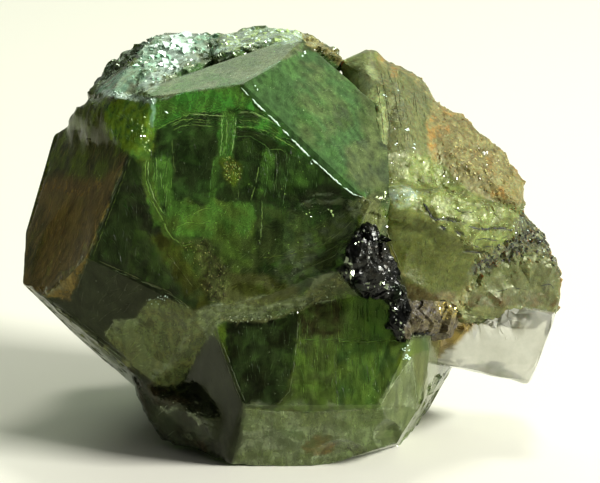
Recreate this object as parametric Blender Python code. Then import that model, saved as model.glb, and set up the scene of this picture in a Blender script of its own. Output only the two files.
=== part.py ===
"""A hand specimen of green garnet: two intergrown crystals with a rough back,
a pale stained matrix on the right, a dark metallic seam between them and a
clear quartz chip under the matrix.

Metres, +Z up. The specimen stands on the flat underside of its lower crystal
and is looked at from -Y, slightly from above.
"""
import math

import bmesh
import bpy
from mathutils import Vector, noise

# Overall size
PICTURE_STEP = 0.0250 / 540.0
MM = 0.001

# The front view that spots are read in: across, down and depth
VIEW_LIFT = math.radians(15.0)
VIEW_DISTANCE = 104.0 * MM
VIEW_AIM = Vector((0.37, 0.0, 8.64)) * MM
VIEW_MIDDLE_ACROSS = 300.0
VIEW_MIDDLE_DOWN = 241.5

# Clearance between neighbouring pieces
GAP = 0.32 * MM
BLANK = 60.0 * MM
MERGE = 0.0000005
LARGEST_SHELL_FACTOR = 2.0
SPLIT_PASSES = 60

# Directions that faces lean towards, as far spots across, down, depth in mm
FAR_LEFT = (-900, 260, 0.0)
FAR_RIGHT = (1500, 240, 0.0)
FAR_ABOVE = (220, -900, 0.0)
FAR_BELOW = (300, 1500, 0.0)

# Upper crystal: corners of its front window, as across, down, depth in mm
UPPER_MIDDLE = (228, 225, 0.6)
WINDOW_TOP_RIGHT = (243, 84, -5.5)
WINDOW_RIGHT_END = (361, 195, -6.5)
WINDOW_TOP_LEFT = (150, 98, -5.2)
WINDOW_FOOT_LEFT = (88, 258, -5.5)
TOP_BACK_RIGHT = (312, 45, -3.0)

# Corners read on a face that is already known, as across and down
WINDOW_LEFT_HIGH = (128, 155)
WINDOW_LEFT_LOW = (70, 296)
RIDGE_LINE_START = (88, 258)
RIDGE_LINE_END = (190, 309)
SHELF_LINE_START = (196, 310)
SHELF_LINE_END = (350, 266)
TOP_BACK_START = (158, 84)
TOP_BACK_END = (292, 38)
RIGHT_EDGE_START = (318, 48)
RIGHT_EDGE_END = (389, 108)
DARK_FACET_START = (336, 152)
DARK_FACET_END = (368, 198)
BROKEN_START = (386, 172)
BROKEN_END = (342, 262)
UNDER_LEFT_START = (25, 281)
UNDER_LEFT_END = (130, 371)
LEFT_TIP_HIGH = (58, 122)
LEFT_TIP_MIDDLE = (26, 232)
LEFT_TIP_LOW = (23, 280)

# The side against the matrix, as across, down, depth in mm
SIDE_CORNERS = ((390, 108, -3.6), (389, 200, -5.4), (366, 150, 4.0))

# How far each upper face leans back from its neighbour, in degrees
BROWN_FACE_LEAN = 50.0
RIDGE_LINE_LEAN = 36.0
SHELF_LINE_LEAN = 50.0
UNDER_LEFT_LEAN = 46.0
LEFT_BACK_LEAN = 74.0
LEFT_TIP_LEAN = 66.0
TOP_BACK_LEAN = 30.0
RIGHT_EDGE_LEAN = 62.0
DARK_FACET_LEAN = 13.0
BROKEN_LEAN = 52.0

# Hidden faces of the upper crystal: azimuth, tilt, distance in mm
UPPER_BACK_FACES = [
    (168.0, 38.0, 6.6),
    (226.0, 26.0, 8.4),
    (128.0, 8.0, 7.2),
    (186.0, -24.0, 6.6),
    (244.0, -38.0, 8.3),
    (110.0, -48.0, 7.6),
    (0.0, -72.0, 7.8),
]

# Lower crystal: corners of its front window
LOWER_MIDDLE = (322, 372, -0.4)
SHELF_LEFT = (222, 344, -5.7)
BEVEL_LEFT = (243, 405, -5.9)
BEVEL_RIGHT = (381, 405, -5.8)
SHELF_RIGHT = (405, 352)
RIGHT_SIDE_TOP = (430, 345)
RIGHT_SIDE_FOOT = (424, 400)
FOOT_RIGHT_START = (322, 466)
FOOT_RIGHT_END = (404, 441)
LOW_RIGHT_START = (398, 441)
LOW_RIGHT_END = (437, 378)
SHOULDER_START = (384, 300)
SHOULDER_END = (434, 350)
SHOULDER_LEAN = 62.0
FOOT_BEVEL_LEAN = 38.0
RIGHT_BEVEL_LEAN = 44.0
LEFT_BEVEL_LEAN = 50.0
RIGHT_SIDE_LEAN = 34.0
FOOT_RIGHT_LEAN = 50.0
LOW_RIGHT_LEAN = 40.0
LOWER_BACK_FACES = [
    (180.0, 6.0, 6.2),
    (232.0, -12.0, 6.6),
    (130.0, -10.0, 6.4),
    (270.0, -30.0, 6.2),
    (180.0, 60.0, 6.0),
]
REST_HEIGHT = 0.0

# Rough lumps of the garnet, as spots across, down, depth in mm
BACK_RIDGE = [
    (84, 94, -0.8), (98, 81, 0.4), (120, 58, 1.2), (146, 39, 1.6), (164, 27, 2.0),
    (204, 32, 2.2), (222, 46, 1.4), (212, 60, -1.4), (148, 93, -3.9), (112, 98, -3.4),
    (112, 120, 5.6), (160, 70, 6.4), (230, 66, 6.2), (180, 190, 4.0), (222, 46, 3.6),
]
PALE_RIDGE = [
    (208, 36, 1.2), (246, 28, 1.8), (298, 31, 1.6), (326, 42, 0.6), (347, 58, 0.2),
    (290, 40, -2.2), (216, 60, -2.4), (324, 90, 5.6), (204, 66, 6.2), (250, 180, 3.0),
    (338, 84, 2.6), (200, 44, 3.4),
]
LEFT_KNOB = [
    (84, 94, -0.8), (60, 120, 0.2), (104, 92, -3.2), (142, 96, -4.8), (153, 112, -5.5),
    (148, 140, -5.6), (134, 158, -5.4), (106, 146, -3.7), (76, 142, -1.4), (110, 130, 2.6),
    (128, 118, -5.0),
]
DARK_STUB = [
    (131, 376, -2.4), (138, 404, -2.0), (147, 427, -1.6), (166, 446, -1.4), (190, 459, -2.0),
    (222, 466, -3.4), (150, 396, -3.6), (172, 408, -4.2), (196, 404, -4.8), (214, 420, -5.2),
    (150, 350, 0.0), (158, 396, 2.4), (196, 440, 2.2), (232, 360, 2.0), (250, 440, 0.0),
]
BACK_MASS = [
    (104, 128, 5.6), (200, 84, 6.6), (316, 104, 6.2), (96, 244, 6.6), (344, 240, 7.0),
    (196, 176, 8.4), (236, 296, 8.6), (160, 366, 6.4), (344, 376, 6.6), (216, 470, 4.4),
    (334, 448, 5.0), (240, 300, 0.0), (288, 190, 8.0),
]
SIDE_NUB = [
    (428, 352, -2.0), (444, 364, -1.6), (443, 380, -1.4), (432, 392, -1.8), (418, 372, -2.8),
    (430, 370, 1.4), (410, 372, 0.0),
]

# Shell-shaped dishes on the garnet: across, down, then reach and depth in mm
RIDGE_FACE_DISH = ((163, 346), 2.0, 0.22)
WINDOW_END_DISH = ((326, 236), 1.9, 0.30)
WINDOW_LOW_DISH = ((262, 306), 2.3, 0.26)
BROWN_FACE_DISH = ((62, 250), 2.4, 0.16)
RIGHT_FACE_DISH = ((352, 118), 1.5, 0.14)
LOWER_CORNER_DISH = ((398, 436), 1.1, 0.35)
LOWER_FOOT_DISH = ((340, 462), 1.3, 0.30)
HOLLOW_DETAIL = 3
DISH_RINGS = 5
DISH_SIDES = 18
DISH_OVERREACH = 1.25

# Pale matrix
MATRIX_SLAB = [
    (348, 58, 0.6), (357, 45, 1.0), (374, 44, 1.0), (390, 53, 1.2), (404, 62, 1.4),
    (426, 77, 1.4), (441, 98, 1.0), (346, 76, 0.6), (370, 84, -1.6), (386, 110, -3.4),
    (388, 150, -4.6), (384, 205, -5.1), (430, 150, -2.6), (434, 210, -3.0), (392, 240, 4.6),
    (356, 110, 5.0), (430, 120, 4.6),
]
MATRIX_SHOULDER = [
    (424, 84, 0.8), (440, 98, 0.8), (457, 113, 0.8), (474, 132, 0.8), (494, 149, 0.8),
    (517, 162, 0.6), (526, 180, 0.4), (531, 204, 0.0), (430, 130, -1.8), (470, 168, -1.4),
    (510, 196, -1.6), (430, 215, -3.0), (512, 236, 1.2), (430, 214, 3.6), (470, 150, 4.0),
]
MATRIX_BULGE = [
    (388, 188, -5.2), (374, 204, -5.7), (374, 226, -5.6), (402, 184, -5.4), (412, 206, -5.7),
    (440, 184, -4.5), (480, 196, -3.6), (524, 208, -2.2), (540, 226, -1.2), (530, 246, -1.6),
    (480, 250, -3.8), (430, 238, -5.0), (384, 250, -5.3), (400, 232, 2.8), (522, 226, 2.2),
    (476, 288, 0.4), (430, 282, 2.0),
]
MATRIX_FOOT = [
    (530, 212, -0.8), (546, 234, -0.4), (556, 254, -0.2), (561, 276, -0.2), (560, 300, -0.2),
    (556, 322, -0.4), (528, 330, -1.2), (486, 330, -2.0), (452, 322, -3.0), (432, 306, -3.8),
    (396, 286, -5.0), (382, 252, -5.2), (392, 232, -5.0), (450, 252, -3.9), (506, 246, -2.4),
    (470, 290, -3.0), (540, 300, 3.0), (470, 310, 3.6), (410, 280, 3.8), (420, 210, 4.6),
    (486, 196, 1.8), (520, 214, 2.8),
]
MATRIX_HOLLOW = ((432, 268, -9.2), (3.6, 4.9, 2.4))
MATRIX_SIDE_HOLLOW = ((470, 158, -5.2), (1.6, 3.4, 1.9))

# Dark metallic seam with its rusty lump
SEAM_PATCH = [
    (357, 213, -6.7), (366, 205, -6.5), (377, 216, -6.3), (385, 240, -6.2), (393, 264, -6.1),
    (402, 288, -6.1), (402, 305, -6.0), (384, 300, -6.4), (366, 295, -6.8), (350, 287, -7.1),
    (344, 262, -7.2), (354, 238, -7.1), (370, 262, -7.3), (380, 250, -3.0), (388, 290, -3.6),
    (360, 236, -4.2),
]
SEAM_TAB = [
    (337, 269, -7.2), (352, 262, -7.1), (368, 284, -6.9), (352, 290, -7.0),
    (340, 270, -6.1), (356, 264, -5.4), (370, 284, -5.4), (354, 292, -5.9),
]
SEAM_TAIL = [
    (384, 280, -6.5), (403, 284, -6.4), (408, 322, -6.4), (410, 345, -6.2), (397, 343, -6.3),
    (389, 318, -6.5), (396, 290, -3.6), (410, 330, -3.6), (404, 345, -4.2),
]
RUST_LUMP = [
    (398, 302, -6.2), (424, 300, -5.9), (446, 300, -5.2), (458, 312, -4.3), (452, 332, -4.1),
    (440, 348, -4.1), (418, 350, -5.2), (400, 340, -6.2), (424, 322, -6.5), (430, 320, -1.4),
    (414, 336, -2.4), (448, 326, -1.6),
]

# Quartz chip: its front outline and its thickness
QUARTZ_OUTLINE = [
    (440, 364), (446, 344), (456, 326), (478, 312), (520, 308), (556, 312), (553, 324),
    (544, 344), (536, 370), (529, 383), (521, 383),
]
QUARTZ_FRONT = -2.4
QUARTZ_BACK = 1.4
QUARTZ_SKEW = 0.9
QUARTZ_HOLLOW = ((486, 391, -0.6), (1.95, 3.6, 1.18))

# Grain of the rough surfaces: edge length, height and size of the relief in mm
GARNET_GRAIN = (1.25, 0.30, 1.5)
MATRIX_GRAIN = (1.35, 0.32, 1.4)
SEAM_GRAIN = (0.75, 0.18, 0.8)
QUARTZ_GRAIN = (1.30, 0.05, 1.6)
GRAIN_SMOOTHING = 0.4
FINE_GRAIN_SHARE = 0.5
FINE_GRAIN_STEP = 2.1
SEED_SHIFT = Vector((7.3, 3.1, 5.7))

# Materials: colour, roughness, metallic
MATERIALS = {
    "garnet_green": ((0.035, 0.105, 0.025), 0.12, 0.0),
    "matrix_pale": ((0.255, 0.280, 0.120), 0.48, 0.0),
    "seam_dark": ((0.070, 0.062, 0.055), 0.36, 0.65),
    "quartz_clear": ((0.640, 0.640, 0.600), 0.10, 0.0),
}

RIGHT = Vector((1.0, 0.0, 0.0))
UP = Vector((0.0, math.sin(VIEW_LIFT), math.cos(VIEW_LIFT)))
AWAY = Vector((0.0, math.cos(VIEW_LIFT), -math.sin(VIEW_LIFT)))
EYE = VIEW_AIM - AWAY * VIEW_DISTANCE


def seen(spot):
    """The place of a spot given as across, down and depth in mm."""
    across, down, depth = spot
    step = PICTURE_STEP * (1.0 + depth * MM / VIEW_DISTANCE)
    sideways = RIGHT * ((across - VIEW_MIDDLE_ACROSS) * step)
    upward = UP * ((VIEW_MIDDLE_DOWN - down) * step)
    return VIEW_AIM + sideways + upward + AWAY * (depth * MM)


def plane_through(first, second, third, middle):
    """Point and outward normal of the face through three spots."""
    a, b, c = seen(first), seen(second), seen(third)
    normal = (b - a).cross(c - a).normalized()
    if normal.dot(a - seen(middle)) < 0.0:
        normal.negate()
    return a, normal


def spot_on(face, spot):
    """The place on a face that is seen at across, down."""
    ray = seen((spot[0], spot[1], 0.0)) - EYE
    reach = (face[0] - EYE).dot(face[1]) / ray.dot(face[1])
    return EYE + ray * reach


def leaned_face(face, first, second, towards, degrees):
    """The face that shares an edge with a face and leans back towards a spot."""
    a = seen(first) if len(first) == 3 else spot_on(face, first)
    b = seen(second) if len(second) == 3 else spot_on(face, second)
    along = (b - a).normalized()
    side = along.cross(face[1]).normalized()
    if side.dot(seen(towards) - a) < 0.0:
        side.negate()
    angle = math.radians(degrees)
    return a, (face[1] * math.cos(angle) + side * math.sin(angle)).normalized()


def turned_face(middle, azimuth, tilt, distance):
    """A face by azimuth from -Y, tilt above level and distance in mm."""
    turn, rise = math.radians(azimuth), math.radians(tilt)
    normal = Vector((
        math.sin(turn) * math.cos(rise),
        -math.cos(turn) * math.cos(rise),
        math.sin(rise),
    ))
    return middle + normal * (distance * MM), normal


def new_solid(bm, name):
    """An object in the scene from finished mesh work."""
    bmesh.ops.recalc_face_normals(bm, faces=bm.faces)
    mesh = bpy.data.meshes.new(name)
    bm.to_mesh(mesh)
    bm.free()
    solid = bpy.data.objects.new(name, mesh)
    bpy.context.scene.collection.objects.link(solid)
    return solid


def crystal(name, faces):
    """A convex crystal bounded by the given faces."""
    bm = bmesh.new()
    bmesh.ops.create_cube(bm, size=BLANK)
    for point, normal in faces:
        everything = bm.verts[:] + bm.edges[:] + bm.faces[:]
        bmesh.ops.bisect_plane(
            bm, geom=everything, plane_co=point, plane_no=normal,
            clear_outer=True, dist=MERGE,
        )
        rim = [edge for edge in bm.edges if len(edge.link_faces) == 1]
        if rim:
            bmesh.ops.contextual_create(bm, geom=rim)
    return new_solid(bm, name)


def hull_mesh(places):
    """The convex block around the given places."""
    bm = bmesh.new()
    for place in places:
        bm.verts.new(place)
    result = bmesh.ops.convex_hull(bm, input=bm.verts)
    spare = [item for item in result["geom_interior"] if isinstance(item, bmesh.types.BMVert)]
    bmesh.ops.delete(bm, geom=spare, context="VERTS")
    return bm


def split_long_edges(bm, longest):
    """Halves long edges, longest first, until the mesh can carry relief."""
    for _ in range(SPLIT_PASSES):
        long_edges = [edge for edge in bm.edges if edge.calc_length() > longest]
        if not long_edges:
            break
        long_edges.sort(key=lambda edge: -edge.calc_length())
        taken, chosen = set(), []
        for edge in long_edges:
            if taken.isdisjoint(edge.link_faces):
                taken.update(edge.link_faces)
                chosen.append(edge)
        bmesh.ops.subdivide_edges(bm, edges=chosen, cuts=1, use_single_edge=True)
        wide = [face for face in bm.faces if len(face.verts) > 3]
        bmesh.ops.triangulate(bm, faces=wide)


def roughen(bm, grain, seed):
    """Adds broken-stone relief to a block."""
    longest, height, size = (value * MM for value in grain)
    bmesh.ops.triangulate(bm, faces=bm.faces)
    split_long_edges(bm, longest)
    bmesh.ops.smooth_vert(
        bm, verts=bm.verts, factor=GRAIN_SMOOTHING,
        use_axis_x=True, use_axis_y=True, use_axis_z=True,
    )
    bm.normal_update()
    shift = SEED_SHIFT * seed
    moves = []
    for vert in bm.verts:
        place = vert.co / size + shift
        lump = noise.noise(place)
        lump += FINE_GRAIN_SHARE * noise.noise(place * FINE_GRAIN_STEP)
        moves.append(vert.normal * (height * lump))
    for vert, move in zip(bm.verts, moves):
        vert.co += move


def lump(name, spots, grain, seed):
    """A broken-stone block around the given spots."""
    bm = hull_mesh([seen(spot) for spot in spots])
    roughen(bm, grain, seed)
    return new_solid(bm, name)


def hollow(name, middle, radii):
    """A rounded tool for a shell-shaped hollow."""
    bm = bmesh.new()
    bmesh.ops.create_icosphere(bm, subdivisions=HOLLOW_DETAIL, radius=1.0)
    place = seen(middle)
    for vert in bm.verts:
        co = vert.co
        vert.co = place + Vector((co.x * radii[0], co.y * radii[1], co.z * radii[2])) * MM
    return new_solid(bm, name)


def dish(name, face, spot, reach, depth):
    """A shallow round tool that sinks a shell-shaped dish into a face."""
    centre = spot_on(face, spot)
    normal = face[1]
    across = normal.orthogonal().normalized()
    along = normal.cross(across)
    curve = 2.0 * depth / (reach * reach) / MM
    bm = bmesh.new()
    bottom = bm.verts.new(centre - normal * (depth * MM))
    previous = None
    for ring in range(1, DISH_RINGS + 1):
        radius = reach * MM * DISH_OVERREACH * ring / DISH_RINGS
        height = curve * radius * radius / 2.0 - depth * MM
        current = []
        for side in range(DISH_SIDES):
            angle = 2.0 * math.pi * side / DISH_SIDES
            place = across * math.cos(angle) + along * math.sin(angle)
            current.append(bm.verts.new(centre + place * radius + normal * height))
        for side in range(DISH_SIDES):
            after = (side + 1) % DISH_SIDES
            if previous is None:
                bm.faces.new((bottom, current[side], current[after]))
            else:
                bm.faces.new((previous[side], current[side], current[after], previous[after]))
        previous = current
    bm.faces.new(previous)
    return new_solid(bm, name)


def combine(base, others, operation):
    """Joins the other solids to the base, or takes them out of it."""
    for other in others:
        step = base.modifiers.new("step", "BOOLEAN")
        step.operation = operation
        step.solver = "EXACT"
        step.use_self = True
        step.object = other
        graph = bpy.context.evaluated_depsgraph_get()
        mesh = bpy.data.meshes.new_from_object(base.evaluated_get(graph))
        base.modifiers.remove(step)
        old = base.data
        base.data = mesh
        bpy.data.meshes.remove(old)
        bpy.data.objects.remove(other)


def largest_piece(bm):
    """Removes crumbs that a cut has left loose."""
    bm.verts.ensure_lookup_table()
    pieces = []
    waiting = set(bm.verts)
    while waiting:
        start = waiting.pop()
        piece, front = {start}, [start]
        while front:
            vert = front.pop()
            for edge in vert.link_edges:
                other = edge.other_vert(vert)
                if other in waiting:
                    waiting.discard(other)
                    piece.add(other)
                    front.append(other)
        pieces.append(piece)
    pieces.sort(key=len)
    crumbs = [vert for piece in pieces[:-1] for vert in piece]
    if crumbs:
        bmesh.ops.delete(bm, geom=crumbs, context="VERTS")


def tidy(solid, name, slot):
    """Cleans a finished solid and gives it its name and material."""
    solid.name = name
    solid.data.name = name
    bm = bmesh.new()
    bm.from_mesh(solid.data)
    bmesh.ops.remove_doubles(bm, verts=bm.verts, dist=MERGE)
    largest_piece(bm)
    bmesh.ops.triangulate(bm, faces=bm.faces)
    bmesh.ops.dissolve_degenerate(bm, edges=bm.edges, dist=MERGE)
    bmesh.ops.triangulate(bm, faces=bm.faces)
    bmesh.ops.recalc_face_normals(bm, faces=bm.faces)
    bm.to_mesh(solid.data)
    bm.free()
    colour, roughness, metallic = MATERIALS[slot]
    material = bpy.data.materials.new(slot)
    material.use_nodes = True
    shader = material.node_tree.nodes["Principled BSDF"]
    shader.inputs["Base Color"].default_value = (*colour, 1.0)
    shader.inputs["Roughness"].default_value = roughness
    shader.inputs["Metallic"].default_value = metallic
    solid.data.materials.clear()
    solid.data.materials.append(material)
    for polygon in solid.data.polygons:
        polygon.material_index = 0
        polygon.use_smooth = False


def upper_faces():
    """All faces of the upper crystal."""
    inside = UPPER_MIDDLE
    window = plane_through(WINDOW_TOP_RIGHT, WINDOW_RIGHT_END, WINDOW_FOOT_LEFT, inside)
    top = plane_through(WINDOW_TOP_LEFT, WINDOW_TOP_RIGHT, TOP_BACK_RIGHT, inside)
    right = plane_through(WINDOW_TOP_RIGHT, WINDOW_RIGHT_END, TOP_BACK_RIGHT, inside)
    brown = leaned_face(
        window, WINDOW_LEFT_HIGH, WINDOW_LEFT_LOW, FAR_LEFT, BROWN_FACE_LEAN
    )
    ridge = leaned_face(
        window, RIDGE_LINE_START, RIDGE_LINE_END, FAR_BELOW, RIDGE_LINE_LEAN
    )
    shelf = leaned_face(
        window, SHELF_LINE_START, SHELF_LINE_END, FAR_BELOW, SHELF_LINE_LEAN
    )
    faces = [
        window, top, right, brown, ridge, shelf,
        leaned_face(ridge, UNDER_LEFT_START, UNDER_LEFT_END, FAR_BELOW, UNDER_LEFT_LEAN),
        leaned_face(brown, LEFT_TIP_HIGH, LEFT_TIP_MIDDLE, FAR_LEFT, LEFT_BACK_LEAN),
        leaned_face(brown, LEFT_TIP_MIDDLE, LEFT_TIP_LOW, FAR_LEFT, LEFT_TIP_LEAN),
        leaned_face(top, TOP_BACK_START, TOP_BACK_END, FAR_ABOVE, TOP_BACK_LEAN),
        leaned_face(right, RIGHT_EDGE_START, RIGHT_EDGE_END, FAR_RIGHT, RIGHT_EDGE_LEAN),
        plane_through(*SIDE_CORNERS, inside),
        leaned_face(right, DARK_FACET_START, DARK_FACET_END, FAR_RIGHT, DARK_FACET_LEAN),
        leaned_face(window, BROKEN_START, BROKEN_END, FAR_RIGHT, BROKEN_LEAN),
    ]
    middle = seen(UPPER_MIDDLE)
    faces += [turned_face(middle, *face) for face in UPPER_BACK_FACES]
    return faces


def lower_faces():
    """All faces of the lower crystal."""
    window = plane_through(SHELF_LEFT, BEVEL_LEFT, BEVEL_RIGHT, LOWER_MIDDLE)
    bevel_left, bevel_right = BEVEL_LEFT[:2], BEVEL_RIGHT[:2]
    foot = leaned_face(window, bevel_left, bevel_right, FAR_BELOW, FOOT_BEVEL_LEAN)
    right = leaned_face(window, bevel_right, SHELF_RIGHT, FAR_RIGHT, RIGHT_BEVEL_LEAN)
    left = leaned_face(window, SHELF_LEFT, BEVEL_LEFT, FAR_LEFT, LEFT_BEVEL_LEAN)
    faces = [
        window, foot, right, left,
        leaned_face(right, RIGHT_SIDE_TOP, RIGHT_SIDE_FOOT, FAR_RIGHT, RIGHT_SIDE_LEAN),
        leaned_face(foot, FOOT_RIGHT_START, FOOT_RIGHT_END, FAR_BELOW, FOOT_RIGHT_LEAN),
        leaned_face(window, SHOULDER_START, SHOULDER_END, FAR_RIGHT, SHOULDER_LEAN),
        leaned_face(right, LOW_RIGHT_START, LOW_RIGHT_END, FAR_RIGHT, LOW_RIGHT_LEAN),
    ]
    middle = seen(LOWER_MIDDLE)
    faces += [turned_face(middle, *face) for face in LOWER_BACK_FACES]
    return faces


def floor_tool():
    """The block under the rest plane."""
    bm = bmesh.new()
    bmesh.ops.create_cube(bm, size=BLANK)
    for vert in bm.verts:
        vert.co.z += REST_HEIGHT - BLANK / 2.0
    return new_solid(bm, "floor_tool")


def build_garnet():
    """The two crystals with their rough back, grown as one."""
    garnet = crystal("garnet", upper_faces())
    combine(garnet, [
        lump("ridge", BACK_RIDGE, GARNET_GRAIN, 1),
        lump("pale_ridge", PALE_RIDGE, GARNET_GRAIN, 2),
        lump("knob", LEFT_KNOB, GARNET_GRAIN, 3),
        lump("stub", DARK_STUB, GARNET_GRAIN, 4),
        lump("back", BACK_MASS, GARNET_GRAIN, 5),
        lump("nub", SIDE_NUB, GARNET_GRAIN, 6),
        crystal("lower", lower_faces()),
    ], "UNION")
    window, _, right, brown, ridge = upper_faces()[:5]
    foot = lower_faces()[1]
    combine(garnet, [
        dish("ridge_dish", ridge, *RIDGE_FACE_DISH),
        dish("end_dish", window, *WINDOW_END_DISH),
        dish("low_dish", window, *WINDOW_LOW_DISH),
        dish("brown_dish", brown, *BROWN_FACE_DISH),
        dish("right_dish", right, *RIGHT_FACE_DISH),
        dish("corner_dish", foot, *LOWER_CORNER_DISH),
        dish("foot_dish", foot, *LOWER_FOOT_DISH),
        floor_tool(),
    ], "DIFFERENCE")
    return garnet


def build_matrix(neighbours):
    """The pale matrix on the right."""
    matrix = lump("matrix", MATRIX_FOOT, MATRIX_GRAIN, 11)
    combine(matrix, [
        lump("bulge", MATRIX_BULGE, MATRIX_GRAIN, 12),
        lump("shoulder", MATRIX_SHOULDER, MATRIX_GRAIN, 13),
        lump("slab", MATRIX_SLAB, MATRIX_GRAIN, 14),
    ], "UNION")
    combine(matrix, [
        hollow("matrix_hollow", *MATRIX_HOLLOW),
        hollow("side_hollow", *MATRIX_SIDE_HOLLOW),
    ] + neighbours, "DIFFERENCE")
    return matrix


def build_seam(neighbours):
    """The dark metallic seam with its rusty lump."""
    seam = lump("seam", SEAM_PATCH, SEAM_GRAIN, 21)
    combine(seam, [
        lump("tab", SEAM_TAB, SEAM_GRAIN, 22),
        lump("tail", SEAM_TAIL, SEAM_GRAIN, 23),
        lump("rust", RUST_LUMP, SEAM_GRAIN, 24),
    ], "UNION")
    combine(seam, neighbours, "DIFFERENCE")
    return seam


def build_quartz(neighbours):
    """The quartz chip under the matrix."""
    places = []
    for across, down in QUARTZ_OUTLINE:
        places.append(seen((across, down, QUARTZ_FRONT)))
        places.append(seen((across - QUARTZ_SKEW, down, QUARTZ_BACK)))
    bm = hull_mesh(places)
    roughen(bm, QUARTZ_GRAIN, 31)
    quartz = new_solid(bm, "quartz")
    tools = [hollow("quartz_hollow", *QUARTZ_HOLLOW)]
    combine(quartz, tools + neighbours, "DIFFERENCE")
    return quartz


def grown_copy(solid):
    """A tool shaped like a finished solid, larger by the clearance."""
    bm = bmesh.new()
    bm.from_mesh(solid.data)
    bm.normal_update()
    moves = []
    for vert in bm.verts:
        factor = min(vert.calc_shell_factor(), LARGEST_SHELL_FACTOR)
        moves.append(vert.normal * (GAP * factor))
    for vert, move in zip(bm.verts, moves):
        vert.co += move
    return new_solid(bm, solid.name + "_tool")


def main():
    """Builds the four pieces."""
    for item in list(bpy.data.objects):
        bpy.data.objects.remove(item)
    garnet = build_garnet()
    tidy(garnet, "garnet_crystals", "garnet_green")
    matrix = build_matrix([grown_copy(garnet)])
    tidy(matrix, "pale_matrix", "matrix_pale")
    seam = build_seam([grown_copy(garnet), grown_copy(matrix)])
    tidy(seam, "metallic_seam", "seam_dark")
    quartz = build_quartz([grown_copy(garnet), grown_copy(matrix), grown_copy(seam)])
    tidy(quartz, "quartz_chip", "quartz_clear")


main()
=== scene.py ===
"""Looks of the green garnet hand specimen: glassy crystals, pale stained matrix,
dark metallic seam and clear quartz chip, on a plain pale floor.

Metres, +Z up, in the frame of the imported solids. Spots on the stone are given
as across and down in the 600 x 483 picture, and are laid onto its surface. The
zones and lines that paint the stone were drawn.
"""

import itertools
import math
import random

import bpy
import numpy as np
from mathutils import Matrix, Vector
from mathutils.bvhtree import BVHTree


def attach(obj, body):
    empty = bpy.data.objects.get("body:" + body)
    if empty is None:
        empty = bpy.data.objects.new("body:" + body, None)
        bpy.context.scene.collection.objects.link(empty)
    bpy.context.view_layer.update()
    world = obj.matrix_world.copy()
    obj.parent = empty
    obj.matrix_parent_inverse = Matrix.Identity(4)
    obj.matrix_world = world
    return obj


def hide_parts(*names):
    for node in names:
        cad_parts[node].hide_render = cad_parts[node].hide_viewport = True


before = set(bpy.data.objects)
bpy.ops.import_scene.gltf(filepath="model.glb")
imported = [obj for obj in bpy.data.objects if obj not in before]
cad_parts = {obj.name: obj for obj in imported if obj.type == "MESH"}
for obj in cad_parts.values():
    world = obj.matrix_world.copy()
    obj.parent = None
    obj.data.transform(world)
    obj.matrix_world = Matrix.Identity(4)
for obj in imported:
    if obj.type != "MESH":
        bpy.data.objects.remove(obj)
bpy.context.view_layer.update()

MM = 0.001

# The front view
PICTURE_STEP = 0.0250 / 540.0
VIEW_LIFT = math.radians(15.0)
VIEW_DISTANCE = 104.1667 * MM
VIEW_AIM = Vector((0.37, 0.0, 8.64)) * MM
PICTURE_MIDDLE = (300.0, 241.5)
CAMERA_LENS = 135.0
CAMERA_SENSOR = 36.0
CAMERA_CLIP = (0.005, 10.0)
RIGHT = Vector((1.0, 0.0, 0.0))
UP = Vector((0.0, math.sin(VIEW_LIFT), math.cos(VIEW_LIFT)))
AWAY = Vector((0.0, math.cos(VIEW_LIFT), -math.sin(VIEW_LIFT)))
EYE = VIEW_AIM - AWAY * VIEW_DISTANCE

# Directions of the lights: azimuth from +Y towards +X, height above the floor, in degrees
TOP_LIGHT = (30.0, 66.0)
RIGHT_LIGHT = (108.0, 26.0)
BACK_LIGHT = (-12.0, 38.0)

# Lights: name, direction, width and height in metres, brightness, colour
LIGHTS = [
    ("top_light", TOP_LIGHT, 0.07, 0.07, 30.0, (1.0, 1.0, 0.93)),
    ("right_light", RIGHT_LIGHT, 0.12, 0.06, 122.0, (1.0, 1.0, 0.96)),
    ("back_light", BACK_LIGHT, 0.30, 0.18, 1.5, (0.82, 1.0, 0.74)),
]
LIGHT_DISTANCE = 0.40
STONE_MIDDLE = Vector((0.0, 0.0, 9.0 * MM))

# Surroundings and floor
SKY_COLOUR = (0.97, 1.0, 0.94, 1.0)
SKY_BRIGHT_SIDE = (0.60, 0.62, 0.50)
SKY_SPAN = (-0.2, 0.9)
SKY_STRENGTH = (0.035, 0.45)
FLOOR_HALF = 1.5
FLOOR_COLOUR = (0.88, 0.86, 0.75, 1.0)

# Longest triangle edges in mm: flat and rough on the seen side, and on the hidden side.
# At painted lines and borders FINE_STEP holds, at broken rims RIM_STEP, and GROWTH is how
# quickly the edges may grow away from them.
GARNET_STEPS = (0.60, 0.24, 0.80)
MATRIX_STEPS = (0.16, 0.14, 0.34)
SEAM_STEPS = (0.08, 0.08, 0.14)
QUARTZ_STEPS = (0.16, 0.16, 0.30)
FINE_STEP = 0.12
RIM_STEP = 0.19
GROWTH = 1.25

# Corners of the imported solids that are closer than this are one
WELD = 0.0008 * MM

# How the gap to the neighbours is closed, in mm: reach, distance within which it closes wholly,
# and how deep the surfaces sink into each other
MATRIX_CLOSING = (0.95, 0.45, 0.05)
SEAM_CLOSING = (0.60, 0.40, 0.04)
QUARTZ_CLOSING = (0.85, 0.45, 0.05)

# What counts as one flat crystal face
FLAT_ANGLE = math.radians(0.8)
FLAT_AREA = 1.6 * MM * MM
SHELL_ANGLE = math.radians(13.0)
SHARP_ANGLE = math.radians(16.0)

# Sizes of the finest colour grain and of dust specks in mm, and the fine grain's share
FINE_GRAIN = 0.10
DUST_GRAIN = 0.07
FINE_SHARE = 0.55

# How far the search for a border or an edge goes, in picture steps and in metres
OUTLINE_MARGIN = 14.0
EDGE_REACH = 0.6 * MM

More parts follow.
